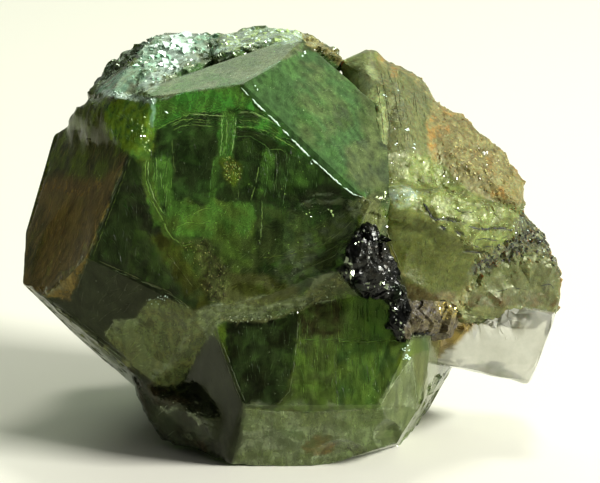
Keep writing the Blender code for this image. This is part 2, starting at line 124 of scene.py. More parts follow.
# How far a surface has to turn towards the front view for paint, softening and ribs: from the
# turn where they begin to the turn where they are full
PAINT_TURN = (-0.15, 0.10)
MELT_TURN = (-0.60, -0.25)
RIB_TURN = (0.0, 0.3)

# Triangles that turn away from the view by less than this count as seen
SEEN_TURN = 0.12

# Numbers of the patterns in the first zone's mottling, its finer part, and the first line's
MOTTLE = 300
FINE_MOTTLE = 400
LINE_MOTTLE = 500

# Softening: strength of one pass, and passes that even out its border
MELT_STRENGTH = 0.7
MELT_SPREAD = 6

# Shifts of painted borders in picture steps: size, grain in mm, number of the pattern
WOBBLE_ACROSS = [(2.2, 0.50, 201), (1.6, 0.16, 202)]
WOBBLE_DOWN = [(2.2, 0.50, 203), (1.6, 0.16, 204)]

# Relief of the stones: height in mm, grain in mm, number of the pattern
GARNET_CHIPS = [(0.15, 0.62, 10), (0.08, 0.30, 30)]
GARNET_WAVES = [(0.010, 1.6, 44), (0.003, 0.5, 45)]
RIM_CHIPS = [(0.20, 0.80, 60)]
RIM_WAVES = [(0.26, 0.9, 61)]
RIM_SINK = 0.10
MATRIX_CHIPS = [(0.12, 0.50, 50), (0.06, 0.24, 70)]
MATRIX_WAVES = [(0.040, 1.1, 71), (0.020, 0.4, 73)]
MATRIX_GRAIN = (0.14, 72)
MATRIX_GRAIN_HEIGHTS = (0.004, 0.012)
SEAM_CHIPS = [(0.20, 0.80, 90), (0.025, 0.20, 110)]
SEAM_WAVES = [(0.05, 0.30, 111)]
QUARTZ_WAVES = [(0.030, 1.1, 120), (0.006, 0.4, 121)]

# Worn edges of the garnet: from where to where they fade, in metres, where they are patchy, and
# their depth in mm with its grain
WORN_REACH = (0.015 * MM, 0.10 * MM)
WORN_WAVES = [(1.0, 0.45, 41), (0.3, 0.12, 42)]
WORN_PATCHES = (-0.4, 0.7)
WORN_DEPTH = 0.040
WORN_GRAIN = (0.2, 47)

# Hazy garnet: height of its relief in mm, and its grain
HAZE_HEIGHT = 0.010
HAZE_GRAIN = (0.20, 46)

# Cracks of the matrix: depth in mm, and from where to where they fade in picture steps
CRACK_DEPTH = 0.07
CRACK_REACH = (0.5, 2.4)

# Shards: rings of their corners (level, width), unevenness of their turn, haze
SHARD_RINGS = ((0.30, 1.0), (-0.45, 0.6))
SHARD_SHAKE = 0.22
SHARD_HAZE = 0.1

# Strips: largest jump between two spots in metres, how deep their sides sink in mm, haze, and
# heights in mm
STRIP_JUMP = 0.35 * MM
STRIP_SINK = 0.015
STRIP_HAZE = 0.3
EDGE_HEIGHT = 0.035
FISSURE_HEIGHT = 0.003
MATRIX_CRACK_HEIGHT = 0.022

# Step along a line in picture steps, and how often a spot inside an outline is tried for
FISSURE_STEP = 1.6
TRIES = 20

# How light goes through the garnet: refraction, and colour and density of its absorption
GARNET_IOR = 1.74
GARNET_ABSORPTION = ((0.30, 0.72, 0.22), 70.0)
LINE_IOR = 1.50

# Brightness of each stone's painted colours, and the highest that the garnet's may reach
GARNET_GAIN = 1.3
MATRIX_GAIN = 0.44
SEAM_GAIN = 0.29
QUARTZ_GAIN = 0.90
PAINT_LIMIT = 0.92

# Stone colours, linear
COLOURS = {
    "deep": (0.017, 0.033, 0.009),
    "pitch": (0.009, 0.011, 0.005),
    "night": (0.028, 0.046, 0.014),
    "shade": (0.022, 0.027, 0.013),
    "forest": (0.036, 0.078, 0.018),
    "vivid": (0.080, 0.300, 0.040),
    "leaf": (0.095, 0.225, 0.034),
    "grass": (0.095, 0.160, 0.026),
    "lime": (0.290, 0.480, 0.090),
    "moss": (0.120, 0.180, 0.014),
    "olive": (0.062, 0.070, 0.012),
    "citrine": (0.230, 0.370, 0.030),
    "bark": (0.182, 0.122, 0.030),
    "rind": (0.235, 0.162, 0.040),
    "umber": (0.030, 0.022, 0.010),
    "fern": (0.058, 0.084, 0.022),
    "meadow": (0.085, 0.200, 0.050),
    "jade": (0.066, 0.148, 0.046),
    "sage": (0.130, 0.165, 0.058),
    "khaki": (0.125, 0.138, 0.044),
    "mist": (0.210, 0.255, 0.130),
    "haze": (0.300, 0.350, 0.215),
    "slate": (0.066, 0.084, 0.044),
    "mint": (0.380, 0.680, 0.460),
    # Painted highlight colour: pale white that stands in for glints and bright reflections
    "frost": (0.740, 0.950, 0.800),
    "pale_lime": (0.500, 0.680, 0.250),
    "stone": (0.270, 0.300, 0.098),
    "reed": (0.180, 0.205, 0.056),
    "tan": (0.430, 0.400, 0.145),
    "cocoa": (0.270, 0.220, 0.075),
    "orange": (0.640, 0.370, 0.080),
    "pistachio": (0.345, 0.430, 0.100),
    "glow": (0.520, 0.640, 0.230),
    "moss_glow": (0.115, 0.140, 0.016),
    "hollow": (0.150, 0.178, 0.024),
    "graphite": (0.070, 0.074, 0.064),
    "soot": (0.016, 0.016, 0.014),
    "smoke": (0.210, 0.228, 0.090),
    "ochre": (0.300, 0.265, 0.065),
    "rust": (0.130, 0.085, 0.025),
    "gold": (0.560, 0.440, 0.120),
    "honey": (0.420, 0.280, 0.040),
    "milk": (0.780, 0.780, 0.670),
}

# Plain mixtures under the zones: colours, size of the patches in mm, number of the pattern, haze
GARNET_BASE = (["forest", "fern", "night", "moss", "forest", "olive"], 2.4, 21, 0.3)
MATRIX_BASE = (["smoke", "stone", "reed", "tan", "stone", "smoke"], 1.6, 73, 0.45)
SEAM_BASE = (["graphite", "soot", "graphite"], 0.6, 91, 0.2)
QUARTZ_BASE = (["milk", "milk"], 1.0, 122, 0.1)


def box(left, top, right, bottom):
    """An upright rectangle as an outline."""
    return [(left, top), (right, top), (right, bottom), (left, bottom)]


# Outlines and lines that are used more than once, across and down
SHELF_BAND = [(214, 308), (262, 308), (340, 272), (322, 298), (266, 316), (224, 318)]
TOP_BEVEL = [(164, 92), (192, 70), (286, 48), (256, 70), (195, 87)]
BOTTOM_BEVEL = [(248, 414), (386, 412), (344, 456), (238, 460)]
BROWN_FACE = [(60, 150), (124, 160), (88, 252), (70, 294), (26, 280), (32, 210)]
LEFT_FACE = [(122, 170), (146, 180), (160, 238), (190, 298), (100, 258)]
RIGHT_FACE = [(262, 82), (340, 64), (384, 110), (352, 178), (300, 138)]
LOWER_LEFT_FACE = [(104, 334), (150, 306), (190, 310), (206, 340), (178, 390), (130, 362)]
KNOB_SIDE = [(110, 112), (146, 102), (154, 130), (150, 160), (128, 150)]
RIDGE_RIGHT = [(220, 46), (228, 31), (298, 30), (302, 40), (250, 46)]
COLUMN = [(221, 116), (236, 116), (232, 157), (222, 157)]
GOLDEN_LENS = [(221, 159), (229, 156), (239, 165), (242, 176), (233, 185), (225, 179)]
WINDOW_EDGE = [(146, 157), (145, 179), (152, 201), (163, 220), (168, 233)]
WINDOW_RIGHT = [(262, 150), (300, 156), (330, 184), (300, 200), (262, 200)]
WINDOW_FOOT = [(226, 262), (300, 240), (352, 232), (310, 290), (222, 304)]
LOWER_WINDOW_LEFT = [(230, 325), (292, 320), (290, 392), (246, 402)]
SLAB_SIDE = [(378, 60), (420, 70), (430, 120), (412, 150), (384, 150)]
BROWN_SLAB = [(440, 110), (516, 162), (510, 196), (446, 180)]
BULGE_LEFT = [(384, 176), (396, 152), (410, 148), (440, 170), (452, 200), (428, 204), (386, 206)]
BULGE_RIGHT = [(440, 170), (470, 192), (520, 208), (536, 222), (510, 244), (470, 240), (436, 222)]
HOLLOW_EDGE = [(382, 210), (381, 225), (388, 250), (396, 268), (406, 288)]
RUST_LUMP = [
    (406, 294), (424, 290), (456, 292), (464, 312), (458, 336), (440, 352), (408, 352), (404, 330),
    (412, 310),
]

# Zones of the garnet: two colours and the size in mm and upright stretch of their mottling,
# haze, soft edge in picture steps, strength, outline across and down
GARNET_ZONES = [
    ("bark", "rind", (0.22, 9.0), 0.15, 4, 0.97, [
        (84, 92), (130, 152), (88, 258), (70, 302), (18, 288), (18, 240), (36, 170), (56, 112)]),
    ("bark", "olive", (0.60, 2.0), 0.10, 7, 0.70, [
        (34, 200), (50, 206), (34, 284), (20, 282), (20, 230)]),
    ("olive", "moss", (0.50, 1.5), 0.35, 12, 0.95, [
        (50, 108), (84, 84), (128, 94), (132, 150), (104, 180), (60, 176), (40, 180)]),
    ("night", "shade", (0.35, 1.3), 0.12, 3, 0.97, [
        (127, 155), (148, 158), (146, 180), (152, 202), (163, 221), (170, 236), (186, 262),
        (203, 296), (194, 309), (150, 289), (88, 258)]),
    ("forest", "night", (0.50, 2.5), 0.05, 3, 0.95, [
        (148, 98), (243, 84), (361, 198), (352, 262), (300, 296), (214, 306), (163, 222), (146, 178)]),
    ("olive", "fern", (0.50, 1.2), 0.10, 6, 0.85, [
        (148, 238), (170, 228), (200, 246), (212, 268), (208, 300), (190, 300), (168, 268)]),
    # Partly painted glow: the bright green band is the crystal's own green, made brighter to stand in for
    # light through its thin top edge
    ("vivid", "leaf", (0.45, 1.0), 0.03, 2, 1.00, [
        (150, 100), (162, 98), (195, 90), (240, 84), (252, 99), (283, 126), (266, 119), (248, 111),
        (226, 112), (207, 111), (189, 114), (171, 121), (158, 130), (150, 140)]),
    ("vivid", "forest", (0.40, 1.0), 0.03, 3, 0.90, [
        (252, 100), (300, 147), (322, 167), (300, 158), (283, 148), (266, 134), (250, 128),
        (236, 128), (237, 117), (262, 121)]),
    ("leaf", "forest", (0.30, 5.0), 0.05, 3, 0.85, [
        (154, 158), (166, 150), (172, 156), (174, 198), (160, 204), (152, 196)]),
    ("forest", "night", (0.30, 1.0), 0.05, 3, 0.80, [(154, 143), (166, 143), (168, 156), (154, 158)]),
    ("leaf", "vivid", (0.12, 6.0), 0.05, 2, 0.95, [
        (220, 114), (237, 114), (236, 138), (232, 158), (221, 158), (219, 138)]),
    ("grass", "leaf", (0.12, 5.0), 0.10, 2, 0.95, [
        (143, 154), (152, 156), (154, 190), (164, 214), (176, 232), (170, 240), (156, 222), (145, 200)]),
    ("deep", "night", (0.60, 1.5), 0.03, 3, 0.97, [
        (172, 138), (190, 133), (214, 136), (217, 158), (214, 178), (196, 182), (178, 177), (174, 160)]),
    ("forest", "night", (0.40, 2.0), 0.05, 5, 0.90, [
        (175, 178), (212, 180), (208, 198), (190, 202), (176, 198)]),
    ("deep", "night", (0.35, 1.5), 0.08, 4, 0.97, [
        (236, 140), (250, 137), (266, 145), (270, 160), (262, 180), (256, 200), (240, 200),
        (236, 186), (244, 170), (240, 156)]),
    ("forest", "leaf", (0.22, 7.0), 0.05, 3, 0.80, [
        (262, 152), (274, 150), (276, 178), (268, 198), (260, 192)]),
    ("night", "deep", (0.40, 2.0), 0.05, 3, 0.85, [(274, 152), (287, 150), (288, 176), (276, 180)]),
    ("forest", "leaf", (0.45, 1.5), 0.05, 5, 0.60, [
        (288, 156), (310, 164), (324, 178), (318, 194), (296, 188), (287, 172)]),
    ("leaf", "grass", (0.40, 1.3), 0.15, 4, 0.90, [
        (164, 200), (186, 200), (203, 208), (216, 200), (250, 202), (256, 220), (254, 246),
        (246, 262), (226, 258), (212, 240), (196, 236), (176, 236), (168, 224)]),
    ("grass", "fern", (0.40, 1.3), 0.15, 8, 0.80, [
        (214, 236), (254, 236), (262, 262), (252, 276), (226, 272), (214, 256)]),
    ("deep", "shade", (0.40, 0.7), 0.08, 6, 0.92, [
        (290, 186), (330, 182), (350, 192), (362, 200), (354, 214), (320, 216), (288, 214),
        (272, 204), (258, 202), (262, 194)]),
    ("night", "fern", (0.35, 1.0), 0.15, 8, 0.80, [
        (258, 206), (290, 212), (312, 216), (300, 240), (290, 262), (262, 262), (256, 236)]),
    ("fern", "slate", (0.35, 0.6), 0.18, 8, 0.90, [
        (299, 236), (322, 222), (350, 212), (357, 222), (352, 246), (336, 262), (314, 272),
        (292, 284), (276, 290), (262, 284), (276, 266)]),
    ("umber", "khaki", (0.14, 1.0), 0.60, 8, 0.75, [
        (194, 240), (208, 238), (216, 258), (230, 270), (228, 300), (212, 304), (204, 286), (196, 262)]),
    ("khaki", "olive", (0.60, 0.8), 0.20, 6, 0.85, [
        (228, 272), (262, 274), (300, 290), (300, 304), (252, 308), (222, 306)]),
    ("moss", "olive", (0.14, 1.0), 0.50, 3, 0.85, [
        (220, 158), (228, 155), (240, 164), (243, 176), (234, 186), (224, 180)]),
    ("mist", "sage", (0.30, 1.0), 0.10, 2, 0.75, [
        (309, 294), (314, 280), (333, 268), (330, 284), (318, 294)]),
    ("mist", "sage", (0.25, 1.0), 0.10, 2, 0.65, [(348, 203), (358, 197), (362, 200), (352, 208)]),
    ("mist", "sage", (0.25, 1.0), 0.10, 2, 0.70, [
        (350, 214), (358, 204), (368, 197), (366, 210), (356, 218)]),
    ("khaki", "olive", (0.14, 1.0), 0.60, 5, 0.92, [
        (358, 194), (362, 196), (380, 190), (384, 220), (378, 232), (366, 226), (362, 212)]),
    # Partly painted shade: the faces that look down to the left are painted near black, darker than the
    # stone's own dark green, to stand in for the shaded floor that they mirror
    ("shade", "pitch", (0.35, 0.8), 0.15, 4, 0.97, [
        (70, 300), (88, 258), (124, 275), (157, 289), (190, 309), (207, 345), (196, 376), (183, 392),
        (168, 392), (131, 374), (96, 348), (20, 292)]),
    ("sage", "khaki", (0.30, 0.8), 0.25, 2, 0.95, [
        (104, 336), (113, 323), (133, 319), (149, 300), (167, 299), (189, 308), (200, 320),
        (208, 338), (196, 374), (189, 388), (178, 393), (158, 388), (129, 363)]),
    ("mist", "sage", (0.30, 1.0), 0.15, 2, 0.70, [
        (104, 335), (113, 321), (134, 318), (140, 322), (122, 332)]),
    ("slate", "smoke", (0.30, 1.0), 0.40, 3, 0.80, [
        (22, 284), (75, 322), (130, 364), (140, 378), (110, 376), (66, 342), (20, 300)]),
    ("sage", "mist", (0.20, 0.6), 0.40, 5, 0.95, [
        (196, 312), (214, 304), (262, 306), (300, 297), (318, 290), (322, 298), (297, 312),
        (266, 319), (223, 320), (207, 344)]),
    ("fern", "khaki", (0.18, 0.6), 0.35, 7, 0.92, [
        (308, 292), (340, 270), (354, 262), (354, 284), (330, 304), (306, 310)]),
    ("pitch", "night", (0.30, 2.5), 0.08, 3, 0.97, [
        (226, 320), (250, 320), (300, 314), (298, 330), (292, 375), (287, 393), (274, 409),
        (244, 408), (224, 345)]),
    ("fern", "grass", (0.14, 6.0), 0.12, 2, 0.95, [
        (299, 316), (352, 288), (378, 290), (394, 300), (404, 345), (381, 408), (275, 409),
        (288, 393), (293, 375)]),
    ("umber", "fern", (0.16, 1.0), 0.20, 6, 0.90, [
        (299, 310), (330, 298), (342, 304), (340, 334), (318, 338), (299, 336)]),
    ("forest", "fern", (0.30, 1.2), 0.10, 5, 0.85, [
        (354, 290), (384, 290), (394, 302), (400, 337), (372, 340), (356, 330)]),
    ("grass", "forest", (0.22, 3.0), 0.10, 5, 0.85, [
        (337, 342), (372, 342), (400, 342), (396, 362), (380, 404), (338, 405)]),
    ("sage", "mist", (0.55, 0.4), 0.45, 2, 0.97, [
        (243, 408), (300, 412), (381, 408), (424, 412), (400, 450), (345, 466), (300, 472),
        (240, 472), (222, 466), (236, 432)]),
    # Painted reflection: a pale grey sheen on the bottom bevel
    ("slate", "haze", (0.50, 0.4), 0.35, 6, 0.55, [(234, 431), (301, 428), (300, 450), (232, 450)]),
    ("bark", "olive", (0.22, 1.0), 0.30, 3, 0.85, [
        (301, 448), (312, 438), (330, 434), (340, 440), (332, 452), (312, 458)]),
    ("mist", "sage", (0.40, 1.5), 0.30, 2, 0.95, [
        (379, 407), (381, 398), (412, 357), (418, 378), (419, 410)]),
    ("sage", "khaki", (0.40, 2.0), 0.20, 3, 0.90, [
        (412, 356), (436, 346), (440, 372), (434, 402), (412, 418), (417, 384)]),
    ("sage", "fern", (0.40, 1.5), 0.30, 4, 0.80, [
        (379, 410), (419, 410), (410, 432), (396, 452), (372, 456)]),
    ("umber", "shade", (0.40, 1.0), 0.20, 3, 0.97, [
        (124, 366), (158, 388), (178, 393), (196, 378), (212, 400), (238, 412), (228, 468),
        (190, 466), (150, 448), (128, 404)]),
    # Painted shade: the top of the stub under the upper crystal is painted near black where shade falls
    # into the hollow between them
    ("pitch", "umber", (0.30, 1.0), 0.15, 6, 0.92, [
        (122, 362), (158, 386), (178, 391), (200, 378), (216, 398), (226, 414), (200, 412),
        (176, 400), (150, 396), (128, 384)]),
    # Painted shade: the left bevel of the lower crystal is painted near black, darker than the stone's
    # own colour, to stand in for the shaded floor that it mirrors
    ("pitch", "shade", (0.40, 2.0), 0.12, 4, 0.97, [
        (176, 392), (186, 374), (202, 346), (212, 334), (221, 344), (245, 406), (242, 440),
        (230, 472), (212, 472), (200, 410)]),
    ("slate", "shade", (0.50, 1.0), 0.15, 8, 0.70, [
        (148, 404), (208, 410), (216, 440), (170, 446), (144, 426)]),
    ("jade", "meadow", (0.90, 1.0), 0.20, 3, 0.97, [
        (243, 84), (258, 73), (288, 58), (303, 50), (348, 58), (391, 108), (391, 176), (364, 198),
        (345, 188), (300, 147), (252, 99)]),
    ("jade", "sage", (0.60, 1.0), 0.18, 12, 0.60, [
        (300, 60), (345, 64), (352, 96), (338, 130), (318, 150), (300, 138), (292, 100)]),
    ("fern", "slate", (0.30, 1.0), 0.15, 7, 0.70, [
        (332, 108), (350, 106), (354, 124), (344, 132), (334, 122)]),
    ("jade", "fern", (0.50, 2.0), 0.25, 14, 0.75, [
        (352, 62), (391, 106), (391, 140), (368, 138), (356, 100)]),
    ("sage", "fern", (0.40, 2.0), 0.30, 14, 0.75, [
        (366, 78), (394, 104), (394, 196), (372, 198), (364, 150), (358, 110)]),
    ("sage", "slate", (0.60, 1.0), 0.25, 8, 0.80, [
        (346, 146), (362, 138), (391, 134), (391, 186), (362, 190), (346, 176)]),
    ("mist", "meadow", (0.60, 0.5), 0.50, 2, 0.97, [
        (146, 97), (156, 84), (170, 74), (192, 64), (222, 56), (262, 46), (292, 42), (304, 44),
        (303, 52), (288, 58), (258, 73), (236, 85), (195, 90), (162, 99)]),
    ("khaki", "slate", (0.50, 0.5), 0.50, 7, 0.60, [
        (214, 60), (290, 42), (302, 46), (258, 70), (220, 76)]),
    ("haze", "mint", (0.40, 1.0), 0.40, 5, 0.90, [
        (96, 94), (112, 74), (140, 62), (146, 76), (138, 92), (120, 96)]),
    ("slate", "mint", (0.16, 1.0), 0.30, 8, 0.60, [
        (134, 70), (146, 40), (166, 24), (170, 40), (152, 62), (140, 84)]),
    # Painted highlights: the pale zones on the ridge stand in for its bright reflections
    ("haze", "frost", (0.30, 1.0), 0.25, 5, 0.92, [
        (140, 62), (146, 40), (164, 24), (210, 28), (222, 52), (168, 74), (152, 92), (144, 92)]),
    ("frost", "frost", (0.14, 1.0), 0.50, 4, 0.85, [
        (150, 66), (160, 44), (176, 36), (196, 36), (192, 50), (178, 60), (168, 72)]),
    ("mint", "jade", (0.20, 1.0), 0.25, 5, 0.70, [(128, 78), (148, 44), (164, 30), (160, 60), (146, 84)]),
    ("sage", "mint", (0.20, 1.0), 0.30, 4, 0.75, [(196, 30), (218, 32), (222, 50), (202, 56), (192, 48)]),
    ("pale_lime", "frost", (0.12, 1.0), 0.50, 4, 0.95, [
        (219, 46), (226, 30), (250, 24), (300, 28), (304, 40), (280, 44), (250, 46), (224, 54)]),
    ("khaki", "cocoa", (0.20, 1.0), 0.50, 3, 0.92, [
        (304, 44), (316, 36), (346, 50), (352, 68), (341, 64), (322, 57)]),
    ("cocoa", "tan", (0.20, 1.0), 0.50, 3, 0.85, [(300, 30), (318, 38), (324, 50), (306, 46)]),
    ("citrine", "leaf", (0.35, 1.0), 0.15, 9, 0.90, [
        (104, 104), (128, 98), (152, 100), (154, 130), (150, 158), (138, 160), (120, 150), (104, 130)]),
    ("citrine", "leaf", (0.20, 1.0), 0.20, 8, 0.85, [
        (112, 106), (138, 102), (150, 116), (148, 150), (136, 154), (120, 136)]),
]

# Lines of colour on the garnet: colour, haze, width, strength, places across and down
GARNET_LINES = [
    ("leaf", 0.1, 11, 0.92, [(230, 112), (229, 135), (226, 156)]),
    ("leaf", 0.1, 6, 0.75, [(218, 158), (214, 184), (212, 204)]),
    ("grass", 0.2, 6, 0.90, WINDOW_EDGE),
    ("deep", 0.1, 3, 0.90, [(193, 118), (208, 119), (220, 121)]),
    ("deep", 0.1, 3, 0.85, [(227, 110), (240, 109), (256, 112), (270, 119)]),
    ("deep", 0.1, 3, 0.80, [(240, 131), (256, 130), (268, 133), (280, 142)]),
    # Painted highlights: two pale strokes on the dark stub
    ("haze", 0.2, 4, 0.55, [(160, 408), (168, 411), (176, 407)]),
    ("haze", 0.2, 4, 0.55, [(189, 412), (196, 418), (199, 424)]),
    # Painted highlights: pale strokes along the ridge wing and the top of the knob
    ("frost", 0.4, 5, 0.90, [(104, 92), (122, 95), (142, 98), (154, 101)]),
    ("frost", 0.4, 4, 0.80, [(140, 88), (150, 80), (160, 72), (170, 66)]),
    ("mint", 0.4, 4, 0.80, [(152, 100), (152, 112), (153, 126)]),
    ("smoke", 0.4, 3, 0.80, [(222, 320), (240, 320), (264, 320), (284, 316), (312, 304), (318, 298)]),
]

# Fissures that reach the surface: colour, width in mm, places across and down
GARNET_FISSURES = [
    ("pale_lime", 0.06, [(222, 116), (222, 136), (220, 156)]),
    ("lime", 0.06, [(227, 118), (227, 136), (224, 154)]),
    ("pale_lime", 0.06, [(236, 116), (235, 134), (232, 152)]),
    ("deep", 0.06, [(231, 118), (231, 136), (228, 154)]),
    ("pale_lime", 0.07, [(190, 114), (206, 115), (226, 116)]),
    ("lime", 0.08, [(171, 125), (180, 120), (192, 119), (210, 121)]),
    ("deep", 0.09, [(186, 118), (204, 118), (222, 119)]),
    ("deep", 0.08, [(236, 116), (254, 116), (270, 123), (282, 130)]),
    ("pale_lime", 0.06, [(238, 112), (252, 112), (266, 118), (276, 124)]),
    ("lime", 0.08, [(236, 127), (250, 127), (266, 131), (280, 139), (296, 149)]),
    ("deep", 0.07, [(238, 131), (254, 132), (268, 136), (284, 146)]),
    ("leaf", 0.07, [(236, 137), (250, 136), (266, 146), (276, 160)]),
    ("lime", 0.07, [(172, 131), (182, 126), (194, 125), (216, 127)]),
    ("grass", 0.08, [(172, 140), (173, 158), (176, 178)]),
    ("leaf", 0.06, [(214, 160), (211, 180), (209, 198)]),
    ("grass", 0.07, [(240, 166), (239, 184), (238, 200)]),
    ("leaf", 0.05, [(264, 152), (268, 170), (266, 190), (262, 204)]),
    ("grass", 0.05, [(276, 152), (277, 172), (274, 192)]),
    ("lime", 0.06, [(262, 200), (262, 220), (260, 244)]),
    ("lime", 0.06, [(164, 226), (172, 238), (184, 246), (196, 242)]),
    ("leaf", 0.05, [(234, 118), (233, 138), (231, 156)]),
    ("lime", 0.06, [(259, 166), (256, 182), (251, 201)]),
    ("lime", 0.07, WINDOW_EDGE),
    ("pale_lime", 0.04, [(148, 160), (148, 180), (154, 198), (164, 214)]),
    ("lime", 0.05, [(156, 156), (157, 176), (154, 190)]),
    ("lime", 0.05, [(183, 220), (191, 214), (203, 209), (215, 208)]),
    ("lime", 0.04, [(176, 228), (188, 222), (200, 224), (212, 220)]),
    ("lime", 0.06, [(156, 130), (171, 122), (189, 114), (207, 111)]),
    ("pale_lime", 0.05, [(191, 114), (206, 115), (224, 116)]),
    ("lime", 0.05, [(171, 127), (180, 122), (190, 120)]),
    ("lime", 0.04, [(191, 122), (204, 123), (212, 123)]),
    ("pale_lime", 0.04, [(238, 113), (252, 113), (268, 120), (276, 125)]),
    ("lime", 0.04, [(238, 120), (254, 121), (270, 127), (282, 136)]),
    ("leaf", 0.05, [(236, 126), (252, 126), (268, 129), (282, 138), (298, 148)]),
    ("lime", 0.04, [(268, 150), (280, 149), (286, 152)]),
    ("leaf", 0.04, [(290, 156), (287, 176), (284, 196), (282, 214)]),
    ("sage", 0.05, [(299, 246), (321, 246), (341, 232), (353, 220)]),
    ("mist", 0.04, [(313, 266), (334, 256), (352, 240), (358, 227)]),
    ("sage", 0.04, [(300, 258), (322, 254), (344, 241), (355, 230)]),
    ("moss", 0.05, [(262, 258), (280, 256), (298, 252)]),
    ("khaki", 0.06, [(99, 261), (124, 272), (150, 284), (168, 291), (189, 307)]),
    ("mist", 0.03, [(113, 270), (138, 280), (160, 289), (178, 299)]),
    ("khaki", 0.04, [(168, 254), (180, 270), (192, 286)]),
    ("haze", 0.04, [(149, 300), (164, 298), (176, 300), (190, 308)]),
    ("haze", 0.04, [(104, 337), (113, 323), (136, 319)]),
    ("sage", 0.04, [(134, 320), (150, 330), (158, 346), (160, 366)]),
    ("slate", 0.07, [(32, 288), (75, 318), (104, 340), (129, 360)]),
    ("mist", 0.04, [(36, 292), (75, 322), (129, 364)]),
    ("mist", 0.05, [(218, 339), (226, 362), (243, 406)]),
    ("haze", 0.03, [(222, 342), (231, 366), (245, 402)]),
    ("mist", 0.05, [(298, 321), (296, 346), (293, 375), (289, 392), (277, 405)]),
    ("leaf", 0.05, [(302, 340), (337, 339), (366, 340), (399, 341)]),
    ("lime", 0.04, [(340, 341), (362, 343), (380, 341)]),
    ("deep", 0.05, [(334, 352), (336, 380), (337, 405)]),
    ("grass", 0.05, [(378, 350), (372, 368), (376, 388)]),
    ("haze", 0.06, [(381, 404), (395, 381), (411, 359)]),
    ("haze", 0.06, [(412, 358), (415, 380), (417, 406)]),
    ("mist", 0.05, [(243, 409), (280, 412), (330, 412), (380, 409)]),
    # Painted highlights: pale strokes on the dark stub
    ("haze", 0.04, [(147, 424), (158, 416), (168, 404)]),
    ("haze", 0.03, [(165, 438), (176, 430)]),
    ("haze", 0.04, [(186, 408), (194, 415), (200, 428)]),
    ("mint", 0.05, [(158, 100), (195, 90), (236, 84), (257, 73), (287, 58)]),
    ("mint", 0.03, [(170, 74), (192, 64), (222, 55), (262, 46), (294, 42)]),
    ("mist", 0.04, [(306, 82), (318, 92), (332, 100), (336, 112)]),
    ("mist", 0.03, [(312, 72), (316, 82), (324, 90)]),
    ("slate", 0.05, [(340, 164), (347, 150), (356, 143), (366, 141)]),
    ("khaki", 0.04, [(222, 319), (250, 321), (284, 316), (312, 303), (330, 294), (345, 280)]),
    ("slate", 0.05, [(128, 158), (110, 205), (90, 254), (76, 292)]),
    ("moss", 0.04, [(131, 158), (112, 208), (92, 258)]),
]

